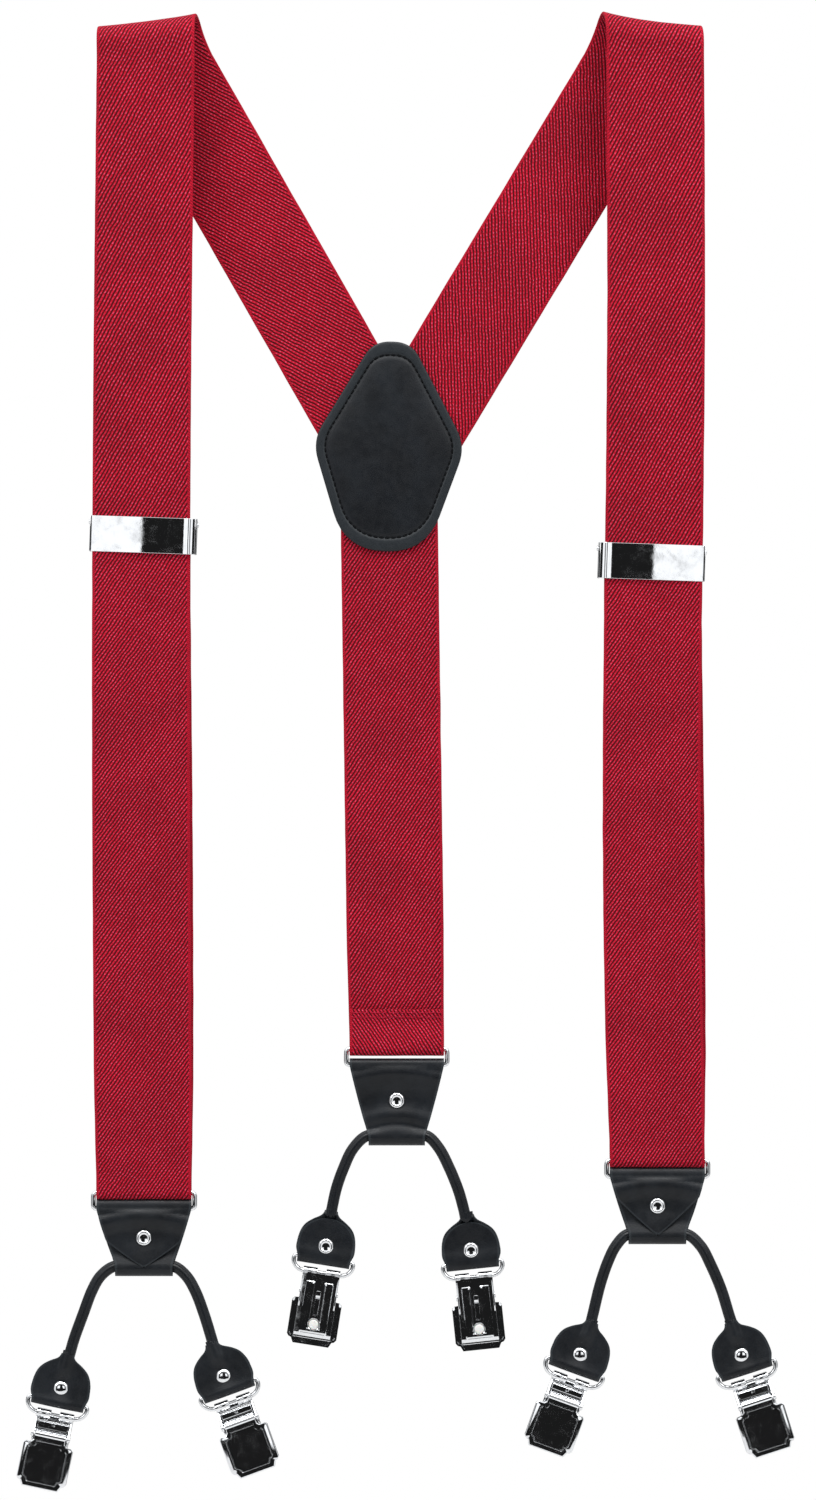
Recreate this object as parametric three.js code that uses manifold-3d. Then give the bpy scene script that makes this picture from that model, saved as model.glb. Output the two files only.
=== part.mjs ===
// Y-back elastic braces with leather ends and six clips, hanging from a round bar by the shoulder loops.
// Millimetres. Seen from the outer face, which looks along -Y, +X is to the right and +Z is up.
// The origin is the centre of the bar, midway between the two shoulder loops.
import * as THREE from 'three';
import { mergeVertices } from 'three/addons/utils/BufferGeometryUtils.js';
import Module from 'manifold-3d';

const wasm = await Module();
wasm.setup();

// ---------- driving dimensions ----------
const clearance = 0.3;
const webbing = { width: 34.6, thickness: 1.3, foldWidth: 33.6, foldTaper: 45 };
const leather = { thickness: 1.2, patchThickness: 1.3 };
const shoulder = { loopRadius: 7, startZ: -12, crestTilt: 7, crestReach: 24 };
const strapSides = {
  left: { sign: -1, topX: -90, bottomX: -90.6, bow: -1.3, sway: 0, turn: 29.8, turnLength: 33,
    sliderZ: -175, ringZ: -407.6, returnDrift: 0.8 },
  right: { sign: 1, topX: 90.2, bottomX: 91, bow: -1.2, sway: 0.9, turn: 31, turnLength: 38,
    sliderZ: -184.5, ringZ: -396.3, returnDrift: 1.6 },
};
const backStrap = { topX: -4.1, ringX: -1.2, ringZ: -357.3, flapLength: 14, flapGap: 0.2 };
// The patch's six corners are given before they are rounded.
const patch = { x: -4, z: -143, topHalf: 6.8, rise: 37.3, halfWidth: 27.3, sideRise: 1, footHalf: 14.5,
  drop: 37.4, lean: 2, topRadius: 10.5, sideRadius: 15.5, footRadius: 19.5 };
const seam = { x: -2.7, z: -152 };
// roll is how far the slider sits out of square on the band, and barSlack the return layer's room for it.
const slider = { height: 12.7, sheet: 0.6, wall: 0.7, sideGap: 0.9, barRadius: 0.7, barInset: 1.8,
  barCover: 0.3, pivotInset: 2.1, pivotRadius: 0.5, barrelRadius: 0.9, barrelGap: 0.35, leverLength: 7.4,
  pinReach: 0.5, roll: 2, barSlack: 0.65 };
const ring = { wireRadius: 0.85, spacing: 5.6, cornerRadius: 1.4 };
const tab = { topWidth: 33.6, bottomWidth: 18.8, frontHeight: 26.6, backHeight: 31.4, rivetShare: 0.5 };
const rivet = { headRadius: 2.9, shankRadius: 1.2, headRise: 0.9, rimShare: 0.45,
  crownShare: 0.7, crownDrop: 0.2 };
const cord = { radius: 2, ridge: 4, eyeGap: 0.5, exitReach: 1.3, neckOverlap: 4, sides: 8, steps: 40 };
// From the rivet up: the widest line, the shoulders, the flare where they turn up, and the neck.
const endTab = { bottomWidth: 18.6, maxWidth: 20.4, neckRise: 12, foldDrop: 6.9, neckHalf: 2.1,
  widestRise: 1, lowerBulge: 0.3, bulgeDrop: 2, shoulderRise: 5.6, shoulderInset: 0.6,
  flareRise: 9.3, flareReach: 3.2, throatRise: 10.6, throatReach: 0.6 };
const dRing = { wireRadius: 0.78, spacing: 5.1, topHalf: 9.9, sideHalf: 10.2, bottomHalf: 6.5,
  upperPull: 1.3, upperDrop: 0.3, lowerPull: 0.4, lowerLift: 0.2 };
const clip = { sheet: 0.6, baseWidth: 13.2, baseDrop: 23.5, knuckleGap: 3.2, pinDrop: 7.2, pinForward: 2.9,
  pinRadius: 0.55, barrelRadius: 1.2, camReach: 1.85, leverWidth: 17.8, leverTopWidth: 11.2,
  leverBottomWidth: 12.8, leverDrop: 26, shoulderDrop: 9.7, flangeEnd: 23.9, flangeDepth: 2.9,
  chamfer: 0.9, camRadius: 0.9, curlEnd: 250, earTop: 1.3, earFront: 1.5, earDrop: 3,
  jawForward: 0.5, jawSheet: 0.5, jawPivotDrop: 2.6, jawTop: 2.1, jawDrop: 22.4, jawLipReach: 1,
  jawLipDrop: 0.7, trunnionRadius: 0.4, padDrop: 18.4, padHole: 2.1, padNub: 1.7, padStem: 1.3, padHead: 1.8,
  padDisc: 2.8, padSheet: 0.45, padSink: 0.1, slotWidth: 1.5, slotTop: 6.4, slotBottom: 15.2 };

// Cord routes from the middle of the leather tab's eye down to each end tab's rivet, as (across, up) pairs,
// and the outward lean of the tab, ring and clip that hang there.
const hangingSets = {
  left: { x: strapSides.left.bottomX, facing: 1, height: tab.frontHeight, ends: {
    left_outer: { route: [[-15.2, -3.2], [-18.2, -8.1], [-21.6, -17], [-24.7, -25.5], [-26.8, -32.5]],
      rivet: [-29.4, -43.2], lean: 12 },
    left_inner: { route: [[15, -3.4], [18.2, -8.8], [21.3, -17], [23.6, -24.5], [25, -29.5]],
      rivet: [28.2, -38.9], lean: 20 } } },
  right: { x: strapSides.right.bottomX, facing: 1, height: tab.frontHeight, ends: {
    right_inner: { route: [[-14.6, -3.9], [-17.3, -9.2], [-20.1, -17.3], [-22.3, -26.2], [-23.6, -32]],
      rivet: [-27.4, -42.6], lean: 20 },
    right_outer: { route: [[15.4, -4.1], [18.9, -10.6], [22.7, -19.6], [25.4, -28.4], [27, -33.4]],
      rivet: [29.8, -42.8], lean: 18 } } },
  back: { x: backStrap.ringX, facing: -1, height: tab.backHeight, ends: {
    back_left: { route: [[-15.6, -4.6], [-18.9, -11.4], [-21.4, -18.4], [-22.9, -25.1], [-23.4, -28]],
      rivet: [-25.2, -39.2], lean: 9 },
    back_right: { route: [[14.9, -4.2], [18.7, -11.4], [22, -19.6], [23.9, -26.4], [24.6, -29.4]],
      rivet: [26.4, -40.6], lean: 6 } } },
};

// ---------- derived values ----------
const foldRadius = ring.wireRadius + clearance + webbing.thickness / 2;
const layerY = shoulder.loopRadius;
const frontRingY = -layerY + foldRadius;
const backRingY = layerY - foldRadius;
const rad = (degrees) => THREE.MathUtils.degToRad(degrees);

// ---------- materials ----------
const finish = (color, roughness, metalness = 0) =>
  new THREE.MeshStandardMaterial({ color, roughness, metalness });
const crimsonElastic = finish(0xa3142b, 0.85);
const blackLeather = finish(0x15171b, 0.45);
const polishedNickel = finish(0xc9cbd0, 0.12, 1);
const whiteNylon = finish(0xf2f2ee, 0.4);

// ---------- solids ----------
function toSolid(geometry) {
  const bare = geometry.clone();
  bare.deleteAttribute('normal');
  bare.deleteAttribute('uv');
  const merged = mergeVertices(bare, 1e-4);
  return new wasm.Manifold(new wasm.Mesh({
    numProp: 3,
    vertProperties: merged.attributes.position.array,
    triVerts: new Uint32Array(merged.index.array),
  }));
}

function toGeometry(solid) {
  const mesh = solid.getMesh();
  const geometry = new THREE.BufferGeometry();
  geometry.setAttribute('position', new THREE.BufferAttribute(mesh.vertProperties, 3));
  geometry.setIndex(new THREE.BufferAttribute(mesh.triVerts, 1));
  geometry.computeVertexNormals();
  return geometry;
}

const join = (first, ...rest) =>
  toGeometry(rest.reduce((solid, next) => solid.add(toSolid(next)), toSolid(first)));
const cut = (first, ...rest) =>
  toGeometry(rest.reduce((solid, next) => solid.subtract(toSolid(next)), toSolid(first)));
const overlapOf = (first, second) => toGeometry(toSolid(first).intersect(toSolid(second)));

// ---------- shape helpers ----------
// A box given by its low and high corners.
function block(low, high) {
  const size = high.map((value, i) => value - low[i]);
  const middle = high.map((value, i) => (value + low[i]) / 2);
  return new THREE.BoxGeometry(...size).translate(...middle);
}

// A round bar along X.
function barAcross(radius, width, y, z, sides = 12) {
  return new THREE.CylinderGeometry(radius, radius, width, sides).rotateZ(Math.PI / 2).translate(0, y, z);
}

// A round post along Y.
function postThrough(radius, depth, x, y, z, sides = 14) {
  return new THREE.CylinderGeometry(radius, radius, depth, sides).translate(x, y, z);
}

// A side profile drawn as (y, z) and given a width across X.
function extrudeAcross(shape, width, x = 0) {
  const basis = new THREE.Matrix4().makeBasis(
    new THREE.Vector3(0, 1, 0), new THREE.Vector3(0, 0, 1), new THREE.Vector3(1, 0, 0));
  return new THREE.ExtrudeGeometry(shape, { depth: width, bevelEnabled: false, curveSegments: 5 })
    .applyMatrix4(basis).translate(x - width / 2, 0, 0);
}

// A front outline drawn as (x, z) and given a depth from y = near to y = far.
function extrudeDeep(shape, near, far) {
  return new THREE.ExtrudeGeometry(shape, { depth: far - near, bevelEnabled: false, curveSegments: 5 })
    .rotateX(Math.PI / 2).translate(0, far, 0);
}

const polygon = (points) => new THREE.Shape(points.map(([a, b]) => new THREE.Vector2(a, b)));

// An outline of straight sides whose corners [x, y, radius] are rounded.
function roundedOutline(corners) {
  const shape = new THREE.Shape();
  corners.forEach(([x, y, radius], i) => {
    const at = new THREE.Vector2(x, y);
    const before = corners.at(i - 1);
    const after = corners[(i + 1) % corners.length];
    const towards = (other) => new THREE.Vector2(other[0], other[1]).sub(at).normalize();
    const half = towards(before).angleTo(towards(after)) / 2;
    const reach = radius / Math.tan(half);
    const start = at.clone().addScaledVector(towards(before), reach);
    const end = at.clone().addScaledVector(towards(after), reach);
    if (i === 0) shape.moveTo(start.x, start.y);
    else shape.lineTo(start.x, start.y);
    shape.quadraticCurveTo(x, y, end.x, end.y);
  });
  return shape;
}

// A bent metal strip: the centreline in (y, z), thickened both ways.
function stripShape(centreline, thickness) {
  const sides = [1, -1].map((side) => centreline.map((point, i) => {
    const before = centreline[Math.max(i - 1, 0)];
    const after = centreline[Math.min(i + 1, centreline.length - 1)];
    const along = after.clone().sub(before).normalize();
    const offset = side * thickness / 2;
    return new THREE.Vector2(point.x - along.y * offset, point.y + along.x * offset);
  }));
  return new THREE.Shape([...sides[0], ...sides[1].reverse()]);
}

// Points of an arc in a side profile, from one angle to the other in degrees.
function arcPoints(y, z, radius, from, to, count) {
  return Array.from({ length: count + 1 }, (_, i) => {
    const angle = rad(from + (to - from) * i / count);
    return new THREE.Vector2(y + radius * Math.cos(angle), z + radius * Math.sin(angle));
  });
}

// A band of webbing swept through stations, each { point, across, width }.
function ribbon(stations) {
  const outline = polygon([[-0.5, -0.5], [0.5, -0.5], [0.5, 0.5], [-0.5, 0.5]]);
  const steps = stations.length - 1;
  const geometry = new THREE.ExtrudeGeometry(outline, { depth: steps, steps, bevelEnabled: false });
  const position = geometry.attributes.position;
  for (let i = 0; i < position.count; i += 1) {
    const at = Math.round(position.getZ(i));
    const station = stations[at];
    const before = stations[Math.max(at - 1, 0)].point;
    const after = stations[Math.min(at + 1, steps)].point;
    const along = after.clone().sub(before).normalize();
    const normal = along.clone().cross(station.across).normalize();
    const placed = station.point.clone()
      .addScaledVector(station.across, position.getX(i) * station.width)
      .addScaledVector(normal, position.getY(i) * webbing.thickness);
    position.setXYZ(i, placed.x, placed.y, placed.z);
  }
  geometry.computeVertexNormals();
  return geometry;
}

// A round wire or cord swept along a curve.
function rod(curve, radius, sides, steps) {
  const circle = new THREE.Shape();
  for (let i = 0; i < sides; i += 1) {
    const angle = 2 * Math.PI * i / sides;
    const corner = [radius * Math.cos(angle), radius * Math.sin(angle)];
    if (i === 0) circle.moveTo(...corner);
    else circle.lineTo(...corner);
  }
  return new THREE.ExtrudeGeometry(circle, { extrudePath: curve, steps, bevelEnabled: false });
}

// A turned piece about Y from a closed (radius, y) profile.
function turned(profile, sides = 12) {
  return new THREE.LatheGeometry(profile.map(([r, y]) => new THREE.Vector2(r, y)), sides);
}

const smooth = (t) => {
  const u = Math.min(Math.max(t, 0), 1);
  return u * u * (3 - 2 * u);
};

const group = new THREE.Group();

function addMesh(parent, name, geometry, material) {
  const mesh = new THREE.Mesh(geometry, material);
  mesh.name = name;
  parent.add(mesh);
}

// ---------- webbing ----------
// The front run leans, bows and sways slightly: its middle at a given height.
function frontX(side, z) {
  const share = Math.max((z - shoulder.startZ) / (side.ringZ - shoulder.startZ), 0);
  return side.topX + (side.bottomX - side.topX) * share
    + side.bow * Math.sin(Math.PI * share) + side.sway * Math.sin(2 * Math.PI * share);
}

// Width near the ring, where the band is squeezed to pass through it.
const bandWidth = (z, ringZ) =>
  webbing.foldWidth + (webbing.width - webbing.foldWidth) * smooth((z - ringZ) / webbing.foldTaper);

// From behind the patch up the back, over the bar and down the front to the slider.
// The band turns within its own plane as it crosses the bar.
function shoulderStrap(side) {
  const arch = Math.PI * shoulder.loopRadius;
  const turnAt = (s) => rad(side.turn) * (1 - smooth(s / side.turnLength));
  const rise = -shoulder.startZ;
  const step = 1.5;
  const stations = [];
  const place = (s) => {
    if (s <= rise) return { y: layerY, z: s - rise, upY: 0, upZ: 1 };
    if (s <= rise + arch) {
      const phi = (s - rise) / shoulder.loopRadius;
      return { y: layerY * Math.cos(phi), z: shoulder.loopRadius * Math.sin(phi),
        upY: -Math.sin(phi), upZ: Math.cos(phi) };
    }
    return { y: -layerY, z: rise + arch - s, upY: 0, upZ: -1 };
  };
  const total = rise + arch + rise;
  const count = Math.round(total / step);
  let x = 0;
  for (let i = 0; i <= count; i += 1) {
    const s = total * i / count;
    const turn = turnAt(s);
    const at = place(s);
    const rightward = side.sign * Math.sin(turn);
    const along = new THREE.Vector3(rightward, Math.cos(turn) * at.upY, Math.cos(turn) * at.upZ);
    const flat = new THREE.Vector3(Math.cos(turn), -rightward * at.upY, -rightward * at.upZ);
    if (i > 0) x += along.x * total / count;
    const crestShare = smooth(1 - Math.abs(s - rise - arch / 2) / shoulder.crestReach);
    const tilt = Math.tan(rad(shoulder.crestTilt)) * crestShare;
    flat.z -= side.sign * tilt;
    stations.push({ point: new THREE.Vector3(x, at.y, at.z), across: flat, width: webbing.width });
  }
  const shift = frontX(side, shoulder.startZ) - x;
  stations.forEach((station) => { station.point.x += shift; });
  const start = stations[0];
  const lean = new THREE.Vector3(-side.sign * Math.sin(rad(side.turn)), 0, -Math.cos(rad(side.turn)));
  const backLength = (start.point.z - seam.z + webbing.width / 2) / Math.cos(rad(side.turn));
  const backSteps = 6;
  for (let i = 1; i <= backSteps; i += 1) {
    stations.unshift({ point: start.point.clone().addScaledVector(lean, backLength * i / backSteps),
      across: start.across, width: webbing.width });
  }
  const endZ = side.sliderZ + clearance / 2;
  const frontSteps = 10;
  for (let i = 1; i <= frontSteps; i += 1) {
    const z = shoulder.startZ + (endZ - shoulder.startZ) * i / frontSteps;
    stations.push({ point: new THREE.Vector3(frontX(side, z), -layerY, z),
      across: new THREE.Vector3(1, 0, 0), width: webbing.width });
  }
  const far = 400;
  const pastSeam = side.sign < 0
    ? block([seam.x - clearance / 2, 0, -far], [far, far, 0])
    : block([-far, 0, -far], [seam.x + clearance / 2, far, 0]);
  const belowSeam = block([-far, 0, -far], [far, far, seam.z + clearance / 2]);
  return cut(ribbon(stations), pastSeam, belowSeam);
}

// From the slider down the front, round the ring's bar and back up to the slider's end bar.
function adjustingLoop(side) {
  const stations = [];
  const add = (x, y, z) => stations.push({ point: new THREE.Vector3(x, y, z),
    across: new THREE.Vector3(1, 0, 0), width: bandWidth(z, side.ringZ) });
  const topZ = side.sliderZ - clearance / 2;
  const runSteps = 16;
  for (let i = 0; i < runSteps; i += 1) {
    const z = topZ + (side.ringZ - topZ) * i / runSteps;
    add(frontX(side, z), -layerY, z);
  }
  const foldSteps = 10;
  for (let i = 0; i <= foldSteps; i += 1) {
    const phi = Math.PI * i / foldSteps;
    add(side.bottomX, frontRingY - foldRadius * Math.cos(phi), side.ringZ - foldRadius * Math.sin(phi));
  }
  const barUnderside = side.sliderZ - slider.height / 2 + slider.barInset - slider.barRadius;
  const returnTop = barUnderside - clearance - slider.barSlack;
  for (let i = 1; i <= runSteps; i += 1) {
    const share = i / runSteps;
    const z = side.ringZ + (returnTop - side.ringZ) * share;
    add(frontX(side, z) + side.returnDrift * Math.sin(Math.PI * share), frontRingY + foldRadius, z);
  }
  return ribbon(stations);
}

// Down the back from the patch, round the ring's bar and up into a short sewn flap.
function backBand() {
  const stations = [];
  const add = (x, y, z) => stations.push({ point: new THREE.Vector3(x, y, z),
    across: new THREE.Vector3(1, 0, 0), width: bandWidth(z, backStrap.ringZ) });
  const topZ = seam.z - clearance / 2;
  const runSteps = 14;
  for (let i = 0; i < runSteps; i += 1) {
    const share = i / runSteps;
    const x = backStrap.topX + (backStrap.ringX - backStrap.topX) * share;
    add(x, layerY, topZ + (backStrap.ringZ - topZ) * share);
  }
  const foldSteps = 10;
  for (let i = 0; i <= foldSteps; i += 1) {
    const phi = Math.PI * i / foldSteps;
    add(backStrap.ringX, backRingY + foldRadius * Math.cos(phi), backStrap.ringZ - foldRadius * Math.sin(phi));
  }
  const flapY = layerY - webbing.thickness - backStrap.flapGap;
  const flapSteps = 6;
  for (let i = 1; i <= flapSteps; i += 1) {
    const share = i / flapSteps;
    add(backStrap.ringX, backRingY - foldRadius + (flapY - backRingY + foldRadius) * smooth(share * 1.3),
      backStrap.ringZ + backStrap.flapLength * share);
  }
  return ribbon(stations);
}

// ---------- patch ----------
function patchLeather(near) {
  const outline = roundedOutline([
    [-patch.topHalf, patch.rise, patch.topRadius],
    [-patch.halfWidth, patch.sideRise, patch.sideRadius],
    [-patch.footHalf, -patch.drop, patch.footRadius],
    [patch.footHalf, -patch.drop, patch.footRadius],
    [patch.halfWidth, patch.sideRise, patch.sideRadius],
    [patch.topHalf, patch.rise, patch.topRadius],
  ]);
  return extrudeDeep(outline, near, near + leather.patchThickness)
    .rotateY(rad(patch.lean)).translate(patch.x, 0, patch.z);
}

// ---------- slider ----------
// Around the middle of the band, with the outer face at -Y.
const sliderHalf = webbing.width / 2 + slider.sideGap;
const sliderPivot = { y: webbing.thickness / 2 + clearance + slider.barrelGap + slider.barrelRadius,
  z: slider.height / 2 - slider.pivotInset };
const sliderBar = { y: 2 * foldRadius, z: -slider.height / 2 + slider.barInset };

function sliderFrame() {
  const halfHeight = slider.height / 2;
  const inner = -webbing.thickness / 2 - clearance;
  const depth = sliderBar.y + slider.barRadius + slider.barCover;
  const face = block([-sliderHalf - slider.wall, inner - slider.sheet, -halfHeight],
    [sliderHalf + slider.wall, inner, halfHeight]);
  const wall = (sign) => {
    const low = sign < 0 ? -sliderHalf - slider.wall : sliderHalf;
    return block([low, inner - slider.sheet, -halfHeight], [low + slider.wall, depth, halfHeight]);
  };
  const endBar = barAcross(slider.barRadius, 2 * sliderHalf + slider.wall, sliderBar.y, sliderBar.z);
  const pinHole = barAcross(slider.pivotRadius + clearance, 2 * sliderHalf + 4 * slider.wall,
    sliderPivot.y, sliderPivot.z);
  return cut(join(face, wall(-1), wall(1), endBar), pinHole);
}

function sliderLever() {
  const half = sliderHalf - clearance;
  const back = sliderPivot.y + slider.barrelRadius;
  const tipZ = sliderPivot.z - slider.leverLength;
  const teeth = webbing.thickness / 2 + clearance;
  const plate = block([-half, back - slider.sheet, tipZ], [half, back, sliderPivot.z]);
  const tip = block([-half, teeth, tipZ], [half, back, tipZ + slider.sheet]);
  const barrel = barAcross(slider.barrelRadius, 2 * half, sliderPivot.y, sliderPivot.z);
  const pin = barAcross(slider.pivotRadius, 2 * (sliderHalf + slider.wall + slider.pinReach),
    sliderPivot.y, sliderPivot.z, 12);
  return join(plate, tip, barrel, pin);
}

// ---------- ring, leather tab and rivet ----------
// Round the ring's top bar, with a butt gap in that bar.
function strapRing() {
  const half = webbing.foldWidth / 2 + clearance + ring.wireRadius;
  const r = ring.cornerRadius;
  const low = -ring.spacing;
  const path = new THREE.CurvePath();
  const at = (x, z) => new THREE.Vector3(x, 0, z);
  const line = (a, b) => path.add(new THREE.LineCurve3(a, b));
  const corner = (a, b, c) => path.add(new THREE.QuadraticBezierCurve3(a, b, c));
  const halfGap = clearance / 2;
  line(at(halfGap, 0), at(half - r, 0));
  corner(at(half - r, 0), at(half, 0), at(half, -r));
  line(at(half, -r), at(half, low + r));
  corner(at(half, low + r), at(half, low), at(half - r, low));
  line(at(half - r, low), at(r - half, low));
  corner(at(r - half, low), at(-half, low), at(-half, low + r));
  line(at(-half, low + r), at(-half, -r));
  corner(at(-half, -r), at(-half, 0), at(r - half, 0));
  line(at(r - half, 0), at(-halfGap, 0));
  return sweepPath(path, ring.wireRadius, 6, 3);
}

// A wire through a path of lines and corners, with a ring of vertices only where the path needs one.
function sweepPath(path, radius, sides, cornerSteps) {
  const points = [];
  path.curves.forEach((curve) => {
    const pieces = curve.isLineCurve3 ? 1 : cornerSteps;
    for (let i = 0; i < pieces; i += 1) points.push(curve.getPoint(i / pieces));
  });
  points.push(path.curves.at(-1).getPoint(1));
  const outline = new THREE.Shape();
  for (let i = 0; i < sides; i += 1) {
    const angle = 2 * Math.PI * (i + 0.5) / sides;
    const spot = [radius * Math.cos(angle), radius * Math.sin(angle)];
    if (i === 0) outline.moveTo(...spot);
    else outline.lineTo(...spot);
  }
  const steps = points.length - 1;
  const geometry = new THREE.ExtrudeGeometry(outline, { depth: steps, steps, bevelEnabled: false });
  const position = geometry.attributes.position;
  const deep = new THREE.Vector3(0, 1, 0);
  for (let i = 0; i < position.count; i += 1) {
    const at = Math.round(position.getZ(i));
    const before = points[Math.max(at - 1, 0)];
    const after = points[Math.min(at + 1, steps)];
    const along = after.clone().sub(before).normalize();
    const aside = deep.clone().cross(along);
    const placed = points[at].clone().addScaledVector(aside, position.getX(i))
      .addScaledVector(deep, position.getY(i));
    position.setXYZ(i, placed.x, placed.y, placed.z);
  }
  geometry.computeVertexNormals();
  return geometry;
}

// The leather tab's top eye goes round the ring's lower bar, its bottom eye round the cord.
const ringEye = ring.wireRadius + clearance;
const cordEye = cord.radius + cord.eyeGap;
const tabTop = -ring.spacing + ringEye + leather.thickness;
const tabBottom = (height) => tabTop - height;
const cordZ = (height) => tabBottom(height) + leather.thickness + cordEye;
const tabRivetZ = (height) => (cordZ(height) - ring.spacing) * tab.rivetShare;

function leatherTab(height) {
  const outer = ringEye + leather.thickness;
  const lowerOuter = cordEye + leather.thickness;
  const low = cordZ(height);
  const layers = block([-tab.topWidth / 2, -leather.thickness, low],
    [tab.topWidth / 2, leather.thickness, -ring.spacing]);
  const blank = join(layers, barAcross(outer, tab.topWidth, 0, -ring.spacing),
    barAcross(lowerOuter, tab.topWidth, 0, low));
  const outline = extrudeDeep(polygon([
    [-tab.topWidth / 2, tabTop + 1],
    [-tab.topWidth / 2, tabTop - outer],
    [-tab.bottomWidth / 2, tabBottom(height) - 1],
    [tab.bottomWidth / 2, tabBottom(height) - 1],
    [tab.topWidth / 2, tabTop - outer],
    [tab.topWidth / 2, tabTop + 1],
  ].reverse()), -2 * lowerOuter, 2 * lowerOuter);
  const wide = tab.topWidth + 2;
  return cut(overlapOf(blank, outline), barAcross(ringEye, wide, 0, -ring.spacing),
    barAcross(cordEye, wide, 0, low),
    postThrough(rivet.shankRadius + clearance, 4 * lowerOuter, 0, 0, tabRivetZ(height)));
}

// A rivet through two layers of leather, with a low dome on each side.
function rivetSolid() {
  const seat = leather.thickness + clearance;
  const rim = seat + rivet.headRise * rivet.rimShare;
  const top = seat + rivet.headRise;
  const crown = rivet.headRadius * rivet.crownShare;
  return turned([
    [0, -top], [crown, -top + rivet.crownDrop], [rivet.headRadius, -rim], [rivet.headRadius, -seat],
    [rivet.shankRadius, -seat], [rivet.shankRadius, seat],
    [rivet.headRadius, seat], [rivet.headRadius, rim], [crown, top - rivet.crownDrop], [0, top],
  ]);
}

// ---------- cord with its flared end tabs ----------
const dEye = dRing.wireRadius + clearance;
const dBarZ = -endTab.foldDrop + dEye + leather.thickness;
const hingeBarZ = dBarZ - dRing.spacing;

// Around the rivet, hanging straight down.
function endTabSolid() {
  const outer = dEye + leather.thickness;
  const half = endTab.bottomWidth / 2;
  const widest = endTab.maxWidth / 2;
  const bulge = widest + endTab.lowerBulge;
  const shoulderX = widest - endTab.shoulderInset;
  const flareX = endTab.neckHalf + endTab.flareReach;
  const throatX = endTab.neckHalf + endTab.throatReach;
  const below = -endTab.foldDrop - 1;
  const shape = new THREE.Shape();
  shape.moveTo(-half, below);
  shape.lineTo(half, below);
  shape.lineTo(half, dBarZ);
  shape.quadraticCurveTo(bulge, -endTab.bulgeDrop, widest, endTab.widestRise);
  shape.quadraticCurveTo(shoulderX, endTab.shoulderRise, flareX, endTab.flareRise);
  shape.quadraticCurveTo(throatX, endTab.throatRise, endTab.neckHalf, endTab.neckRise);
  shape.lineTo(-endTab.neckHalf, endTab.neckRise);
  shape.quadraticCurveTo(-throatX, endTab.throatRise, -flareX, endTab.flareRise);
  shape.quadraticCurveTo(-shoulderX, endTab.shoulderRise, -widest, endTab.widestRise);
  shape.quadraticCurveTo(-bulge, -endTab.bulgeDrop, -half, dBarZ);
  const outline = extrudeDeep(shape, -2 * outer, 2 * outer);
  const wide = endTab.maxWidth + 2;
  const layers = block([-wide / 2, -leather.thickness, dBarZ],
    [wide / 2, leather.thickness, endTab.neckRise]);
  const blank = join(layers, barAcross(outer, wide, 0, dBarZ));
  return cut(overlapOf(blank, outline), barAcross(dEye, wide + 2, 0, dBarZ),
    postThrough(rivet.shankRadius + clearance, 4 * outer, 0, 0, 0));
}

// The place of an end tab within its hanging set.
function endPlace(set, end) {
  const across = end.rivet[0] * set.facing;
  return { x: across, z: cordZ(set.height) + end.rivet[1], turn: -Math.sign(across) * rad(end.lean) };
}

function clipCord(set) {
  const level = cordZ(set.height);
  const points = [];
  const ends = Object.values(set.ends);
  const sorted = set.facing > 0 ? ends : [...ends].reverse();
  sorted.forEach((end, i) => {
    const place = endPlace(set, end);
    const upward = new THREE.Vector3(Math.sin(place.turn), 0, Math.cos(place.turn));
    const rivetAt = new THREE.Vector3(place.x, 0, place.z);
    const exit = Math.sign(place.x) * (tab.bottomWidth / 2 + cord.exitReach);
    const leg = [
      new THREE.Vector3(exit / 2, 0, level),
      new THREE.Vector3(exit, 0, level),
      ...end.route.map(([x, z]) => new THREE.Vector3(x * set.facing, 0, level + z)),
      rivetAt.clone().addScaledVector(upward, endTab.neckRise - cord.neckOverlap),
      rivetAt.clone().addScaledVector(upward, cord.ridge),
    ];
    points.push(...(i === 0 ? leg.reverse() : leg));
  });
  const middle = points.length / 2;
  points.splice(middle, 0, new THREE.Vector3(0, 0, level));
  const curve = new THREE.CatmullRomCurve3(points, false, 'centripetal');
  const pieces = sorted.map((end) => {
    const place = endPlace(set, end);
    return endTabSolid().rotateY(place.turn).translate(place.x, 0, place.z);
  });
  const holes = sorted.map((end) => {
    const place = endPlace(set, end);
    return postThrough(rivet.shankRadius + clearance, 20, place.x, 0, place.z);
  });
  return cut(join(rod(curve, cord.radius, cord.sides, cord.steps), ...pieces), ...holes);
}

// ---------- D-ring ----------
// Its upper bar lies in the end tab's fold; the lower, shorter bar carries the clip. Origin at the upper bar.
function dRingSolid() {
  const path = new THREE.CurvePath();
  const at = (x, z) => new THREE.Vector3(x, 0, z);
  const low = -dRing.spacing;
  const side = (sign) => new THREE.CubicBezierCurve3(
    at(sign * dRing.topHalf, 0), at(sign * (dRing.sideHalf + dRing.upperPull), -dRing.upperDrop),
    at(sign * (dRing.sideHalf + dRing.lowerPull), low + dRing.lowerLift), at(sign * dRing.bottomHalf, low));
  const back = side(-1);
  path.add(new THREE.LineCurve3(at(clearance / 2, 0), at(dRing.topHalf, 0)));
  path.add(side(1));
  path.add(new THREE.LineCurve3(at(dRing.bottomHalf, low), at(-dRing.bottomHalf, low)));
  path.add(new THREE.CubicBezierCurve3(back.v3, back.v2, back.v1, back.v0));
  path.add(new THREE.LineCurve3(at(-dRing.topHalf, 0), at(-clearance / 2, 0)));
  return sweepPath(path, dRing.wireRadius, 6, 6);
}

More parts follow.
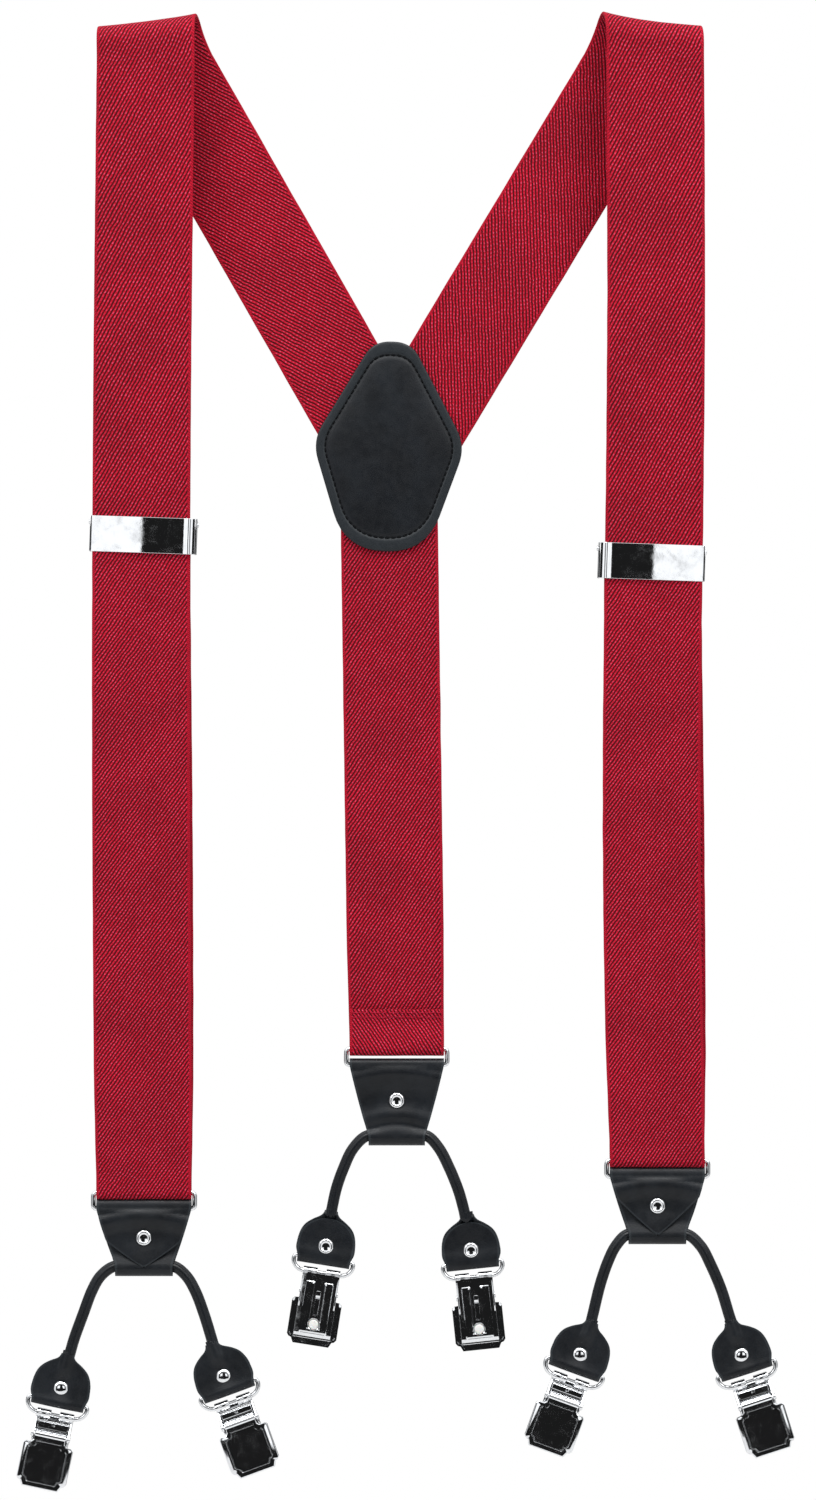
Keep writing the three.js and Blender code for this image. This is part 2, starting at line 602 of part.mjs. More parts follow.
// ---------- clip ----------
// Around the D-ring's lower bar; the outer face looks along -Y and the jaws hang down.
const knuckleRadius = dRing.wireRadius + clearance + clip.sheet / 2;
const clipPin = { y: -clip.pinForward, z: -clip.pinDrop };
const jawPivot = { y: -clip.jawForward, z: -clip.jawPivotDrop };

function clipBase() {
  const half = clip.baseWidth / 2;
  const centreline = [new THREE.Vector2(knuckleRadius, -clip.baseDrop),
    ...arcPoints(0, 0, knuckleRadius, 0, clip.curlEnd, 10)];
  const sheet = extrudeAcross(stripShape(centreline, clip.sheet), clip.baseWidth);
  const knuckleSlot = block([-clip.knuckleGap / 2, -3, -knuckleRadius - 0.5], [clip.knuckleGap / 2, 3, 3]);
  const back = knuckleRadius + clip.sheet / 2;
  const around = clip.barrelRadius;
  const ear = (sign) => extrudeAcross(new THREE.Shape([
    new THREE.Vector2(back, -clip.earTop),
    new THREE.Vector2(-clip.earFront, -clip.earTop),
    ...arcPoints(clipPin.y, clipPin.z, around, 160, 290, 4),
    new THREE.Vector2(back, clipPin.z - clip.earDrop),
  ]), clip.sheet, sign * (half - clip.sheet / 2));
  const pin = barAcross(clip.pinRadius, clip.baseWidth, clipPin.y, clipPin.z, 8);
  const trunnionHole = barAcross(clip.trunnionRadius + clearance, clip.baseWidth + 2,
    jawPivot.y, jawPivot.z, 8);
  const slot = block([-clip.slotWidth / 2, 0, -clip.slotBottom], [clip.slotWidth / 2, 3, -clip.slotTop]);
  const hole = postThrough(clip.padHole, 3, 0, knuckleRadius, -clip.padDrop);
  return cut(join(cut(sheet, knuckleSlot), ear(-1), ear(1), pin), trunnionHole, slot, hole);
}

function clipLever() {
  const half = clip.leverWidth / 2;
  const topHalf = clip.leverTopWidth / 2;
  const lowHalf = clip.leverBottomWidth / 2;
  const front = clipPin.y - clip.barrelRadius;
  const outline = polygon([
    [-topHalf, clipPin.z], [-topHalf, -clip.shoulderDrop],
    [-half, -clip.shoulderDrop], [-half, -clip.flangeEnd],
    [-lowHalf - clip.chamfer, -clip.flangeEnd], [-lowHalf, -clip.leverDrop], [lowHalf, -clip.leverDrop],
    [lowHalf + clip.chamfer, -clip.flangeEnd], [half, -clip.flangeEnd], [half, -clip.shoulderDrop],
    [topHalf, -clip.shoulderDrop], [topHalf, clipPin.z],
  ]);
  const plate = extrudeDeep(outline, front, front + clip.sheet);
  const flange = (sign) => {
    const low = sign < 0 ? -half : half - clip.sheet;
    return block([low, front, -clip.flangeEnd],
      [low + clip.sheet, front + clip.flangeDepth, -clip.shoulderDrop]);
  };
  const lip = block([-lowHalf, front, -clip.leverDrop],
    [lowHalf, front + clip.flangeDepth, clip.sheet - clip.leverDrop]);
  const barrel = barAcross(clip.barrelRadius, clip.leverTopWidth, clipPin.y, clipPin.z);
  const camY = clipPin.y + clip.camReach - clip.camRadius;
  const cam = barAcross(clip.camRadius, clip.leverTopWidth, camY, clipPin.z);
  const bore = barAcross(clip.pinRadius + clearance, clip.leverWidth, clipPin.y, clipPin.z, 8);
  return cut(join(plate, flange(-1), flange(1), lip, barrel, cam), bore);
}

function clipJaw() {
  const half = clip.leverTopWidth / 2;
  const strip = extrudeAcross(stripShape([
    new THREE.Vector2(jawPivot.y, -clip.jawTop),
    new THREE.Vector2(jawPivot.y, -clip.jawDrop),
    new THREE.Vector2(jawPivot.y + clip.jawLipReach, -clip.jawDrop - clip.jawLipDrop),
  ], clip.jawSheet), 2 * half);
  const trunnion = barAcross(clip.trunnionRadius, clip.baseWidth, jawPivot.y, jawPivot.z, 8);
  const hole = postThrough(clip.padStem + clearance, 3, 0, jawPivot.y, -clip.padDrop, 12);
  return cut(join(strip, trunnion), hole);
}

// The pad is pressed through the jaw; its nub stands in the base plate's hole.
function clipPad() {
  const outerFace = jawPivot.y - clip.jawSheet / 2 - clearance;
  const innerFace = jawPivot.y + clip.jawSheet / 2 + clearance;
  const disc = clip.padSheet;
  const nubEnd = knuckleRadius + clip.sheet / 2 - clip.padSink;
  return turned([
    [0, outerFace - disc], [clip.padHead, outerFace - disc],
    [clip.padHead, outerFace], [clip.padStem, outerFace],
    [clip.padStem, innerFace], [clip.padDisc, innerFace], [clip.padDisc, innerFace + disc],
    [clip.padNub, innerFace + disc], [clip.padNub, nubEnd], [0, nubEnd],
  ]).translate(0, 0, -clip.padDrop);
}

// ---------- assembly ----------
for (const [name, side] of Object.entries(strapSides)) {
  addMesh(group, `${name}_shoulder_strap`, shoulderStrap(side), crimsonElastic);
  addMesh(group, `${name}_adjusting_loop`, adjustingLoop(side), crimsonElastic);
  const holder = new THREE.Group();
  holder.position.set(frontX(side, side.sliderZ), -layerY, side.sliderZ);
  holder.rotation.y = rad(slider.roll);
  addMesh(holder, `${name}_slider_frame`, sliderFrame(), polishedNickel);
  addMesh(holder, `${name}_slider_lever`, sliderLever(), polishedNickel);
  group.add(holder);
}
addMesh(group, 'back_strap', backBand(), crimsonElastic);
const patchGap = webbing.thickness / 2 + clearance;
addMesh(group, 'patch_outer_leather', patchLeather(layerY + patchGap), blackLeather);
addMesh(group, 'patch_inner_leather', patchLeather(layerY - patchGap - leather.patchThickness), blackLeather);

for (const [name, set] of Object.entries(hangingSets)) {
  const hanging = new THREE.Group();
  hanging.position.set(set.x, set.facing > 0 ? frontRingY : backRingY, (strapSides[name] ?? backStrap).ringZ);
  hanging.rotation.z = set.facing > 0 ? 0 : Math.PI;
  addMesh(hanging, `${name}_strap_ring`, strapRing(), polishedNickel);
  addMesh(hanging, `${name}_leather_tab`, leatherTab(set.height), blackLeather);
  addMesh(hanging, `${name}_tab_rivet`, rivetSolid().translate(0, 0, tabRivetZ(set.height)), polishedNickel);
  addMesh(hanging, `${name}_clip_cord`, clipCord(set), blackLeather);
  for (const [endName, end] of Object.entries(set.ends)) {
    const place = endPlace(set, end);
    const hung = new THREE.Group();
    hung.position.set(place.x, 0, place.z);
    hung.rotation.y = place.turn;
    addMesh(hung, `${endName}_cord_rivet`, rivetSolid(), polishedNickel);
    addMesh(hung, `${endName}_d_ring`, dRingSolid().translate(0, 0, dBarZ), polishedNickel);
    const clipGroup = new THREE.Group();
    clipGroup.position.z = hingeBarZ;
    addMesh(clipGroup, `${endName}_clip_base`, clipBase(), polishedNickel);
    addMesh(clipGroup, `${endName}_clip_lever`, clipLever(), polishedNickel);
    addMesh(clipGroup, `${endName}_clip_jaw`, clipJaw(), polishedNickel);
    addMesh(clipGroup, `${endName}_clip_pad`, clipPad(), whiteNylon);
    hung.add(clipGroup);
    hanging.add(hung);
  }
  group.add(hanging);
}

export default group;
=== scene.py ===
# Crimson Y-back braces hanging by their shoulder loops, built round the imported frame.
import math

import bmesh
import bpy
from mathutils import Matrix, Vector, noise


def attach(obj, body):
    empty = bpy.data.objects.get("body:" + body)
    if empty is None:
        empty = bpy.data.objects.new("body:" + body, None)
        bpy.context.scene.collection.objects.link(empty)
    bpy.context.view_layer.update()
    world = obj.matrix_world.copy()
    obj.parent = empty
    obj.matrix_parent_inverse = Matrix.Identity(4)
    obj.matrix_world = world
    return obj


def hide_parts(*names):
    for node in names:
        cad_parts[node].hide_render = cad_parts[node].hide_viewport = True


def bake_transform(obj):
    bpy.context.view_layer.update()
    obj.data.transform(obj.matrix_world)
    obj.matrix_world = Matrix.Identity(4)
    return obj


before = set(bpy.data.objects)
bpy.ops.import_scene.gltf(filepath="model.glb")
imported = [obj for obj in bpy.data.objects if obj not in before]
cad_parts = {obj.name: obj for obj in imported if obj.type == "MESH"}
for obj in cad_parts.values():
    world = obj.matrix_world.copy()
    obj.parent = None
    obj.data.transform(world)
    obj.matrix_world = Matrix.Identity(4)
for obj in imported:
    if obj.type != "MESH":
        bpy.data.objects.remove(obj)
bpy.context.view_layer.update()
scene = bpy.context.scene
mm = 0.001


# node helpers
class NodeBench:
    # lays out nodes in one tree
    def __init__(self, tree):
        self.tree = tree
        tree.nodes.clear()

    def node(self, kind, **values):
        made = self.tree.nodes.new(kind)
        for key, value in values.items():
            setattr(made, key, value)
        return made

    def put(self, value, socket):
        if isinstance(value, bpy.types.NodeSocket):
            self.tree.links.new(value, socket)
        else:
            socket.default_value = value

    def maths(self, operation, *values):
        made = self.node("ShaderNodeMath", operation=operation)
        for i, value in enumerate(values):
            self.put(value, made.inputs[i])
        return made.outputs[0]

    def fade(self, value, low, high, first=0.0, last=1.0):
        made = self.node("ShaderNodeMapRange", interpolation_type="SMOOTHSTEP")
        for name, entry in (("Value", value), ("From Min", low), ("From Max", high),
                            ("To Min", first), ("To Max", last)):
            self.put(entry, made.inputs[name])
        return made.outputs["Result"]

    def colours(self, share, first, second):
        made = self.node("ShaderNodeMix", data_type="RGBA")
        self.put(share, made.inputs["Factor"])
        for name, entry in (("A_Color", first), ("B_Color", second)):
            self.put(entry, next(socket for socket in made.inputs if socket.identifier == name))
        return made.outputs[2]

    def wave(self, turns):
        # runs from 0 to 1 and back once each turn
        swing = self.maths("COSINE", self.maths("MULTIPLY", turns, 2 * math.pi))
        return self.maths("MULTIPLY_ADD", swing, 0.5, 0.5)

    def blend(self, share, first, second):
        made = self.node("ShaderNodeMix", data_type="FLOAT")
        for name, entry in (("Factor", share), ("A", first), ("B", second)):
            self.put(entry, made.inputs[name])
        return made.outputs[0]

    def cloud(self, where, scale, detail=2.0, dimensions="3D"):
        made = self.node("ShaderNodeTexNoise", noise_dimensions=dimensions)
        self.put(where, made.inputs["Vector"])
        made.inputs["Scale"].default_value = scale
        made.inputs["Detail"].default_value = detail
        return made.outputs["Fac"]

    def split(self, vector):
        made = self.node("ShaderNodeSeparateXYZ")
        self.put(vector, made.inputs[0])
        return made.outputs

    def join(self, x, y, z=0.0):
        made = self.node("ShaderNodeCombineXYZ")
        for i, value in enumerate((x, y, z)):
            self.put(value, made.inputs[i])
        return made.outputs[0]

    def bump(self, height, distance, strength=1.0):
        made = self.node("ShaderNodeBump")
        made.inputs["Strength"].default_value = strength
        made.inputs["Distance"].default_value = distance
        self.put(height, made.inputs["Height"])
        return made.outputs["Normal"]


# camera, light and floor
studio = {"distance": 2.0, "aimX": 0.0028, "aimZ": -0.251, "viewHeight": 0.53025, "floorZ": -0.90,
          "floorRadius": 1.6, "keyPower": 7, "topPower": 15,
          "roomFill": 0.36, "roomGlow": 1.2, "roomDark": 0.012}


def makeCamera():
    data = bpy.data.cameras.new("studioCamera")
    data.sensor_fit = "VERTICAL"
    data.sensor_height = 24
    data.lens = data.sensor_height * studio["distance"] / studio["viewHeight"]
    camera = bpy.data.objects.new("studioCamera", data)
    scene.collection.objects.link(camera)
    camera.location = (studio["aimX"], -0.007 - studio["distance"], studio["aimZ"])
    camera.rotation_euler = (math.radians(90), 0, 0)
    scene.camera = camera


def addSoftbox(name, place, size, power):
    data = bpy.data.lights.new(name, "AREA")
    data.shape = "RECTANGLE"
    data.size, data.size_y = size
    data.energy = power
    light = bpy.data.objects.new(name, data)
    scene.collection.objects.link(light)
    light.location = place
    aim = Vector((0, 0, studio["aimZ"])) - Vector(place)
    light.rotation_euler = aim.to_track_quat("-Z", "Y").to_euler()


def makeWorld():
    world = bpy.data.worlds.new("studioWorld")
    scene.world = world
    world.use_nodes = True
    bench = NodeBench(world.node_tree)
    maths, fade = bench.maths, bench.fade
    x, y, z = bench.split(bench.node("ShaderNodeTexCoord").outputs["Generated"])
    # a dim room: a short pale card each side of the middle, a pale wall further out, a pale ceiling
    facing = fade(maths("ABSOLUTE", y), 0.5, 0.75)
    aside = maths("ABSOLUTE", x)
    height = maths("SUBTRACT", fade(z, -0.06, -0.02), fade(z, 0.2, 0.3))
    cards = maths("MULTIPLY", fade(aside, 0.1, 0.125), height)
    cards = maths("MULTIPLY", cards, maths("SUBTRACT", facing, fade(aside, 0.3, 0.42)))
    walls = maths("MULTIPLY", maths("SUBTRACT", fade(aside, 0.5, 0.65), fade(aside, 0.85, 0.97)), 0.75)
    level = maths("MAXIMUM", maths("MAXIMUM", cards, fade(z, 0.4, 0.6)), walls)
    level = maths("MULTIPLY", level, fade(maths("MULTIPLY", z, -1.0), 0.2, 0.5, 1.0, 0.25))
    # cloth and leather take a low even light from the room instead
    rays = bench.node("ShaderNodeLightPath").outputs
    seen = maths("MULTIPLY_ADD", level, studio["roomGlow"], studio["roomDark"])
    room = bench.node("ShaderNodeBackground")
    bench.put(bench.blend(rays["Is Diffuse Ray"], seen, studio["roomFill"]), room.inputs["Strength"])
    room.inputs["Color"].default_value = (0.97, 0.985, 1, 1)
    paper = bench.node("ShaderNodeBackground")
    paper.inputs["Color"].default_value = (1, 1, 1, 1)
    mix = bench.node("ShaderNodeMixShader")
    bench.put(rays["Is Camera Ray"], mix.inputs[0])
    bench.put(room.outputs[0], mix.inputs[1])
    bench.put(paper.outputs[0], mix.inputs[2])
    bench.put(mix.outputs[0], bench.node("ShaderNodeOutputWorld").inputs["Surface"])


def makeFloor():
    bm = bmesh.new()
    bmesh.ops.create_circle(bm, cap_ends=True, radius=studio["floorRadius"], segments=96,
                            matrix=Matrix.Translation((0, 0, studio["floorZ"])))
    mesh = bpy.data.meshes.new("studioFloor")
    bm.to_mesh(mesh)
    bm.free()
    material = bpy.data.materials.new("paleFloor")
    material.use_nodes = True
    bench = NodeBench(material.node_tree)
    shader = bench.node("ShaderNodeBsdfPrincipled")
    where = bench.node("ShaderNodeTexCoord").outputs["Object"]
    tint = bench.cloud(where, 3.0)
    bench.put(bench.colours(tint, (0.86, 0.86, 0.86, 1), (0.9, 0.9, 0.9, 1)), shader.inputs["Base Color"])
    shader.inputs["Roughness"].default_value = 0.8
    bench.put(shader.outputs[0], bench.node("ShaderNodeOutputMaterial").inputs["Surface"])
    mesh.materials.append(material)
    floor = bpy.data.objects.new("studioFloor", mesh)
    scene.collection.objects.link(floor)


makeCamera()
makeWorld()
makeFloor()
scene.view_settings.view_transform = "Standard"
for hand, sign in (("Left", -1), ("Right", 1)):
    addSoftbox(f"key{hand}", (sign * 1.5, -1.5, 0.75), (0.9, 0.9), studio["keyPower"])
    addSoftbox(f"top{hand}", (sign * 0.55, -0.7, 1.35), (0.8, 0.7), studio["topPower"])
print("studio ready")


# finishes
def startFinish(name):
    material = bpy.data.materials.new(name)
    material.use_nodes = True
    bench = NodeBench(material.node_tree)
    shader = bench.node("ShaderNodeBsdfPrincipled")
    bench.put(shader.outputs[0], bench.node("ShaderNodeOutputMaterial").inputs["Surface"])
    return material, bench, shader


# the groove colours stand for painted shade in the weave's hollows, and the pale pink stitch colour is a painted
# highlight on the rib tops
elastic = {"ribPitch": 1.19 * mm, "ribAngle": 28, "stitch": 1.55 * mm, "selvage": 16.35 * mm,
           "rimPitch": 1 * mm,
           "groove": (0.055, 0.001, 0.004, 1), "body": (0.52, 0.003, 0.022, 1),
           "stitchHighlight": (0.86, 0.10, 0.20, 1), "rim": (0.56, 0.004, 0.026, 1),
           "rimGrooveShade": (0.26, 0.003, 0.014, 1)}


def elasticFinish():
    material, bench, shader = startFinish("crimsonTwill")
    maths, fade = bench.maths, bench.fade
    across, along, _ = bench.split(bench.node("ShaderNodeUVMap", uv_map="cloth").outputs[0])
    cosine = math.cos(math.radians(elastic["ribAngle"]))
    sine = math.sin(math.radians(elastic["ribAngle"]))
    flat = bench.join(across, along)
    wander = bench.cloud(flat, 260.0)
    fine = bench.cloud(flat, 2600.0, 3.0)
    # ribs run up to the right on the face side; short stitches carrying a painted highlight break each rib
    row = maths("ADD", maths("MULTIPLY", across, cosine / elastic["ribPitch"]),
                maths("MULTIPLY", along, sine / elastic["ribPitch"]))
    row = maths("ADD", row, maths("MULTIPLY", maths("SUBTRACT", wander, 0.5), 0.7))
    run = maths("SUBTRACT", maths("MULTIPLY", across, sine / elastic["stitch"]),
                maths("MULTIPLY", along, cosine / elastic["stitch"]))
    rib = bench.wave(row)
    number = maths("FLOOR", maths("ADD", row, 0.5))
    chance = bench.node("ShaderNodeTexWhiteNoise", noise_dimensions="1D")
    bench.put(number, chance.inputs["W"])
    beat = maths("ADD", run, maths("MULTIPLY", chance.outputs["Value"], 0.9))
    stitch = bench.wave(beat)
    # each stitch's painted highlight takes its own strength
    tone = bench.node("ShaderNodeTexWhiteNoise", noise_dimensions="2D")
    bench.put(bench.join(number, maths("FLOOR", maths("ADD", beat, 0.5))), tone.inputs["Vector"])
    edge = fade(maths("ABSOLUTE", across), elastic["selvage"] - 0.2 * mm, elastic["selvage"] + 0.15 * mm)
    rimRun = maths("ADD", along, maths("MULTIPLY", maths("ABSOLUTE", across), -0.8))
    rimStitch = bench.wave(maths("MULTIPLY", rimRun, 1 / elastic["rimPitch"]))
    lift = maths("MULTIPLY", fade(rib, 0.15, 0.85), fade(stitch, -0.25, 0.8, 0.35, 1.0))
    height = maths("MULTIPLY_ADD", fine, 0.25, lift)
    rimHeight = maths("MULTIPLY_ADD", rimStitch, 0.45, 0.35)
    # painted shade: the body colour turns dark maroon down in the grooves between ribs
    base = bench.colours(fade(rib, 0.14, 0.62), elastic["groove"], elastic["body"])
    # painted highlight: pale pink along the rib tops, broken into stitches
    paintedHighlight = maths("MULTIPLY", fade(rib, 0.55, 1.0), fade(stitch, 0.3, 0.95))
    paintedHighlight = maths("MULTIPLY", paintedHighlight, fade(tone.outputs["Value"], 0.0, 1.0, 0.25, 0.95))
    paintedHighlight = maths("MULTIPLY", paintedHighlight, fade(fine, 0.3, 0.7, 0.45, 1.1))
    base = bench.colours(paintedHighlight, base, elastic["stitchHighlight"])
    # painted shade: the selvage stitches darken in the troughs between them
    rim = bench.colours(rimStitch, elastic["rimGrooveShade"], elastic["rim"])
    colour = bench.colours(edge, base, rim)
    # a broad mottle of painted light and shade over the band
    drift = bench.cloud(flat, 45.0, 3.0)
    shaded = bench.node("ShaderNodeHueSaturation")
    bench.put(fade(drift, 0.3, 0.7, 0.9, 1.08), shaded.inputs["Value"])
    bench.put(colour, shaded.inputs["Color"])
    bench.put(shaded.outputs[0], shader.inputs["Base Color"])
    bench.put(fade(fine, 0.3, 0.7, 0.72, 0.88), shader.inputs["Roughness"])
    bench.put(bench.bump(bench.blend(edge, height, rimHeight), 0.22 * mm, 0.8), shader.inputs["Normal"])
    shader.inputs["Sheen Weight"].default_value = 0.02
    shader.inputs["Sheen Roughness"].default_value = 0.5
    shader.inputs["Specular IOR Level"].default_value = 0.15
    return material


leather = {"deep": (0.003, 0.0042, 0.0062, 1), "worn": (0.007, 0.0092, 0.0125, 1),
           "edge": (0.026, 0.032, 0.037, 1)}


def leatherFinish(name, roughness=0.4, grain=0.5 * mm, lift=0.05 * mm, rim=0.7 * mm, paleness=0.6):
    # the hide map holds each spot's distance from the cut edge; a rim below zero leaves no pale edge
    material, bench, shader = startFinish(name)
    inset = bench.split(bench.node("ShaderNodeUVMap", uv_map="hide").outputs[0])[0]
    nearEdge = bench.fade(inset, rim, rim + 0.25 * mm, paleness, 0.0)
    where = bench.node("ShaderNodeTexCoord").outputs["Object"]
    pores = bench.node("ShaderNodeTexVoronoi", feature="SMOOTH_F1")
    bench.put(where, pores.inputs["Vector"])
    pores.inputs["Scale"].default_value = 1 / grain
    crease = bench.cloud(where, 420.0, 4.0)
    worn = bench.cloud(where, 90.0, 3.0)
    hide = bench.colours(bench.fade(worn, 0.35, 0.7), leather["deep"], leather["worn"])
    bench.put(bench.colours(nearEdge, hide, leather["edge"]), shader.inputs["Base Color"])
    bench.put(bench.fade(crease, 0.3, 0.75, roughness - 0.05, roughness + 0.1), shader.inputs["Roughness"])
    height = bench.maths("MULTIPLY_ADD", crease, 0.8, pores.outputs["Distance"])
    bench.put(bench.bump(height, lift, 0.55), shader.inputs["Normal"])
    shader.inputs["Specular IOR Level"].default_value = 0.3
    return material


def nickelFinish(name, roughness=0.05, colour=(0.86, 0.87, 0.885)):
    material, bench, shader = startFinish(name)
    where = bench.node("ShaderNodeTexCoord").outputs["Object"]
    smear = bench.cloud(where, 300.0, 4.0)
    fine = bench.cloud(where, 2200.0, 3.0)
    pale = (*colour, 1)
    dull = (*(value * 0.95 for value in colour), 1)
    bench.put(bench.colours(bench.fade(smear, 0.35, 0.7), pale, dull), shader.inputs["Base Color"])
    bench.put(bench.fade(smear, 0.4, 0.75, roughness * 0.7, roughness * 2.2), shader.inputs["Roughness"])
    shader.inputs["Metallic"].default_value = 1.0
    bench.put(bench.bump(bench.maths("ADD", smear, bench.maths("MULTIPLY", fine, 0.2)), 0.04 * mm, 0.35),
              shader.inputs["Normal"])
    return material


def nylonFinish():
    material, bench, shader = startFinish("whiteNylon")
    where = bench.node("ShaderNodeTexCoord").outputs["Object"]
    speck = bench.cloud(where, 900.0, 3.0)
    bench.put(bench.colours(speck, (0.80, 0.80, 0.77, 1), (0.93, 0.93, 0.91, 1)), shader.inputs["Base Color"])
    bench.put(bench.fade(speck, 0.3, 0.7, 0.3, 0.45), shader.inputs["Roughness"])
    bench.put(bench.bump(speck, 0.03 * mm, 0.4), shader.inputs["Normal"])
    shader.inputs["Subsurface Weight"].default_value = 0.1
    shader.inputs["Subsurface Scale"].default_value = 1.0 * mm
    return material


def threadFinish(name, dark, pale):
    material, bench, shader = startFinish(name)
    where = bench.node("ShaderNodeTexCoord").outputs["Object"]
    twist = bench.cloud(where, 3500.0, 2.0)
    bench.put(bench.colours(twist, dark, pale), shader.inputs["Base Color"])
    shader.inputs["Roughness"].default_value = 0.85
    shader.inputs["Specular IOR Level"].default_value = 0.15
    bench.put(bench.bump(twist, 0.05 * mm, 0.6), shader.inputs["Normal"])
    return material


elasticSkin = elasticFinish()
leatherSkin = leatherFinish("blackLeather")
patchSkin = leatherFinish("patchLeather", 0.45, 0.45 * mm, 0.06 * mm, 2.85 * mm, 0.55)
cordSkin = leatherFinish("cordLeather", 0.34, 0.4 * mm, 0.03 * mm, -1.0)
nickelSkin = nickelFinish("polishedNickel")
clipSkin = nickelFinish("pressedNickel", 0.06)
nylonSkin = nylonFinish()
blackThread = threadFinish("blackThread", (0.001, 0.001, 0.0015, 1), (0.003, 0.0035, 0.005, 1))
redThread = threadFinish("redThread", (0.22, 0.003, 0.013, 1), (0.62, 0.02, 0.06, 1))
print("finishes ready")


# shape helpers
def smooth(value):
    value = min(max(value, 0.0), 1.0)
    return value * value * (3 - 2 * value)


def through(pairs, at):
    # a smooth line through (position, value) pairs given in rising order
    if at <= pairs[0][0]:
        return pairs[0][1]
    if at >= pairs[-1][0]:
        return pairs[-1][1]
    i = max(k for k in range(len(pairs) - 1) if pairs[k][0] <= at)
    slopes = []
    for k in (i, i + 1):
        low, high = max(k - 1, 0), min(k + 1, len(pairs) - 1)
        slopes.append((pairs[high][1] - pairs[low][1]) / (pairs[high][0] - pairs[low][0]))
    span = pairs[i + 1][0] - pairs[i][0]
    t = (at - pairs[i][0]) / span
    return ((2 * t ** 3 - 3 * t ** 2 + 1) * pairs[i][1] + (t ** 3 - 2 * t ** 2 + t) * span * slopes[0]
            + (3 * t ** 2 - 2 * t ** 3) * pairs[i + 1][1] + (t ** 3 - t ** 2) * span * slopes[1])


def makeObject(name, bm, *skins, sharp=35):
    mesh = bpy.data.meshes.new(name)
    bm.to_mesh(mesh)
    bm.free()
    for skin in skins:
        mesh.materials.append(skin)
    mesh.shade_smooth()
    mesh.set_sharp_from_angle(angle=math.radians(sharp))
    piece = bpy.data.objects.new(name, mesh)
    scene.collection.objects.link(piece)
    return piece


def settle(piece, sharp=35):
    # turns a piece's modifiers into its mesh
    graph = bpy.context.evaluated_depsgraph_get()
    mesh = bpy.data.meshes.new_from_object(piece.evaluated_get(graph))
    piece.modifiers.clear()
    piece.data = mesh
    mesh.shade_smooth()
    mesh.set_sharp_from_angle(angle=math.radians(sharp))
    return piece


def thicken(piece, thickness, offset=0.0):
    wall = piece.modifiers.new("wall", "SOLIDIFY")
    wall.thickness = thickness
    wall.offset = offset
    wall.use_even_offset = True


def roundEdges(piece, width, segments=2, angle=40):
    edge = piece.modifiers.new("edge", "BEVEL")
    edge.width = width
    edge.segments = segments
    edge.limit_method = "ANGLE"
    edge.angle_limit = math.radians(angle)
    edge.harden_normals = False


def roundedCorners(corners, steps=6):
    # (x, z, radius) corners in order, each turned through a soft curve
    outline = []
    for i, (x, z, radius) in enumerate(corners):
        here = Vector((x, z))
        before = (Vector(corners[i - 1][:2]) - here).normalized()
        after = (Vector(corners[(i + 1) % len(corners)][:2]) - here).normalized()
        if radius <= 0:
            outline.append(here)
            continue
        reach = radius / math.tan(before.angle(after) / 2)
        start, end = here + before * reach, here + after * reach
        for k in range(steps + 1):
            t = k / steps
            outline.append(start * (1 - t) ** 2 + here * 2 * t * (1 - t) + end * t * t)
    return outline


def fromMillimetres(bm):
    bmesh.ops.scale(bm, vec=(mm, mm, mm), verts=bm.verts[:])
    bmesh.ops.recalc_face_normals(bm, faces=bm.faces[:])


def skinOver(bm, loops, closed=False):
    # joins each ring of edges to the next, and caps the two ends
    pairs = list(zip(loops, loops[1:] + loops[:1])) if closed else list(zip(loops, loops[1:]))
    for first, second in pairs:
        bmesh.ops.bridge_loops(bm, edges=first + second)
    if not closed:
        bmesh.ops.contextual_create(bm, geom=loops[0])
        bmesh.ops.contextual_create(bm, geom=loops[-1])


def block(bm, low, high):
    size = [b - a for a, b in zip(low, high)]
    middle = [(a + b) / 2 for a, b in zip(low, high)]
    place = Matrix.Translation(middle) @ Matrix.Diagonal((*size, 1))
    bmesh.ops.create_cube(bm, size=1, matrix=place)


def barAcross(bm, radius, width, y, z, sides=20, x=0.0):
    place = Matrix.Translation((x, y, z)) @ Matrix.Rotation(math.radians(90), 4, "Y")
    bmesh.ops.create_cone(bm, cap_ends=True, segments=sides, radius1=radius, radius2=radius,
                          depth=width, matrix=place)


def turned(bm, profile, steps=32, middle=(0, 0, 0)):
    # spins a (radius, y) profile round the y axis
    verts = [bm.verts.new((r, y, 0)) for r, y in profile]
    edges = [bm.edges.new(pair) for pair in zip(verts, verts[1:])]
    bmesh.ops.spin(bm, geom=verts + edges, cent=(0, 0, 0), axis=(0, 1, 0), angle=2 * math.pi,
                   steps=steps, use_merge=True, use_duplicate=False)
    bmesh.ops.remove_doubles(bm, verts=bm.verts[:], dist=0.002 * mm)
    bmesh.ops.translate(bm, verts=bm.verts[:], vec=middle)


def sweep(bm, path, radius, sides=14, closed=False, shape=None):
    # a round wire or cord along a path that lies in an upright plane
    deep = Vector((0, 1, 0))
    rings = []
    for i, point in enumerate(path):
        before = path[i - 1] if closed or i else point
        after = path[(i + 1) % len(path)] if closed or i + 1 < len(path) else point
        along = (after - before).normalized()
        aside = deep.cross(along).normalized()
        place = Matrix((aside, deep, along)).transposed().to_4x4()
        place.translation = point
        ring = bmesh.ops.create_circle(bm, cap_ends=False, radius=radius, segments=sides,
                                       matrix=place)["verts"]
        if shape:
            for vert in ring:
                out = vert.co - point
                vert.co = point + out * shape(math.atan2(out.dot(deep), out.dot(aside)), i)
        rings.append(ring)
    loops = [list({edge for vert in ring for edge in vert.link_edges}) for ring in rings]
    skinOver(bm, loops, closed)
    bmesh.ops.recalc_face_normals(bm, faces=bm.faces[:])


def finishPiece(piece, place, body, slotName, *nodes):
    # puts the place into the mesh, then ties the piece to its body
    if place is not None:
        piece.data.transform(place)
    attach(piece, body)
    if nodes:
        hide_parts(*nodes)
    return piece


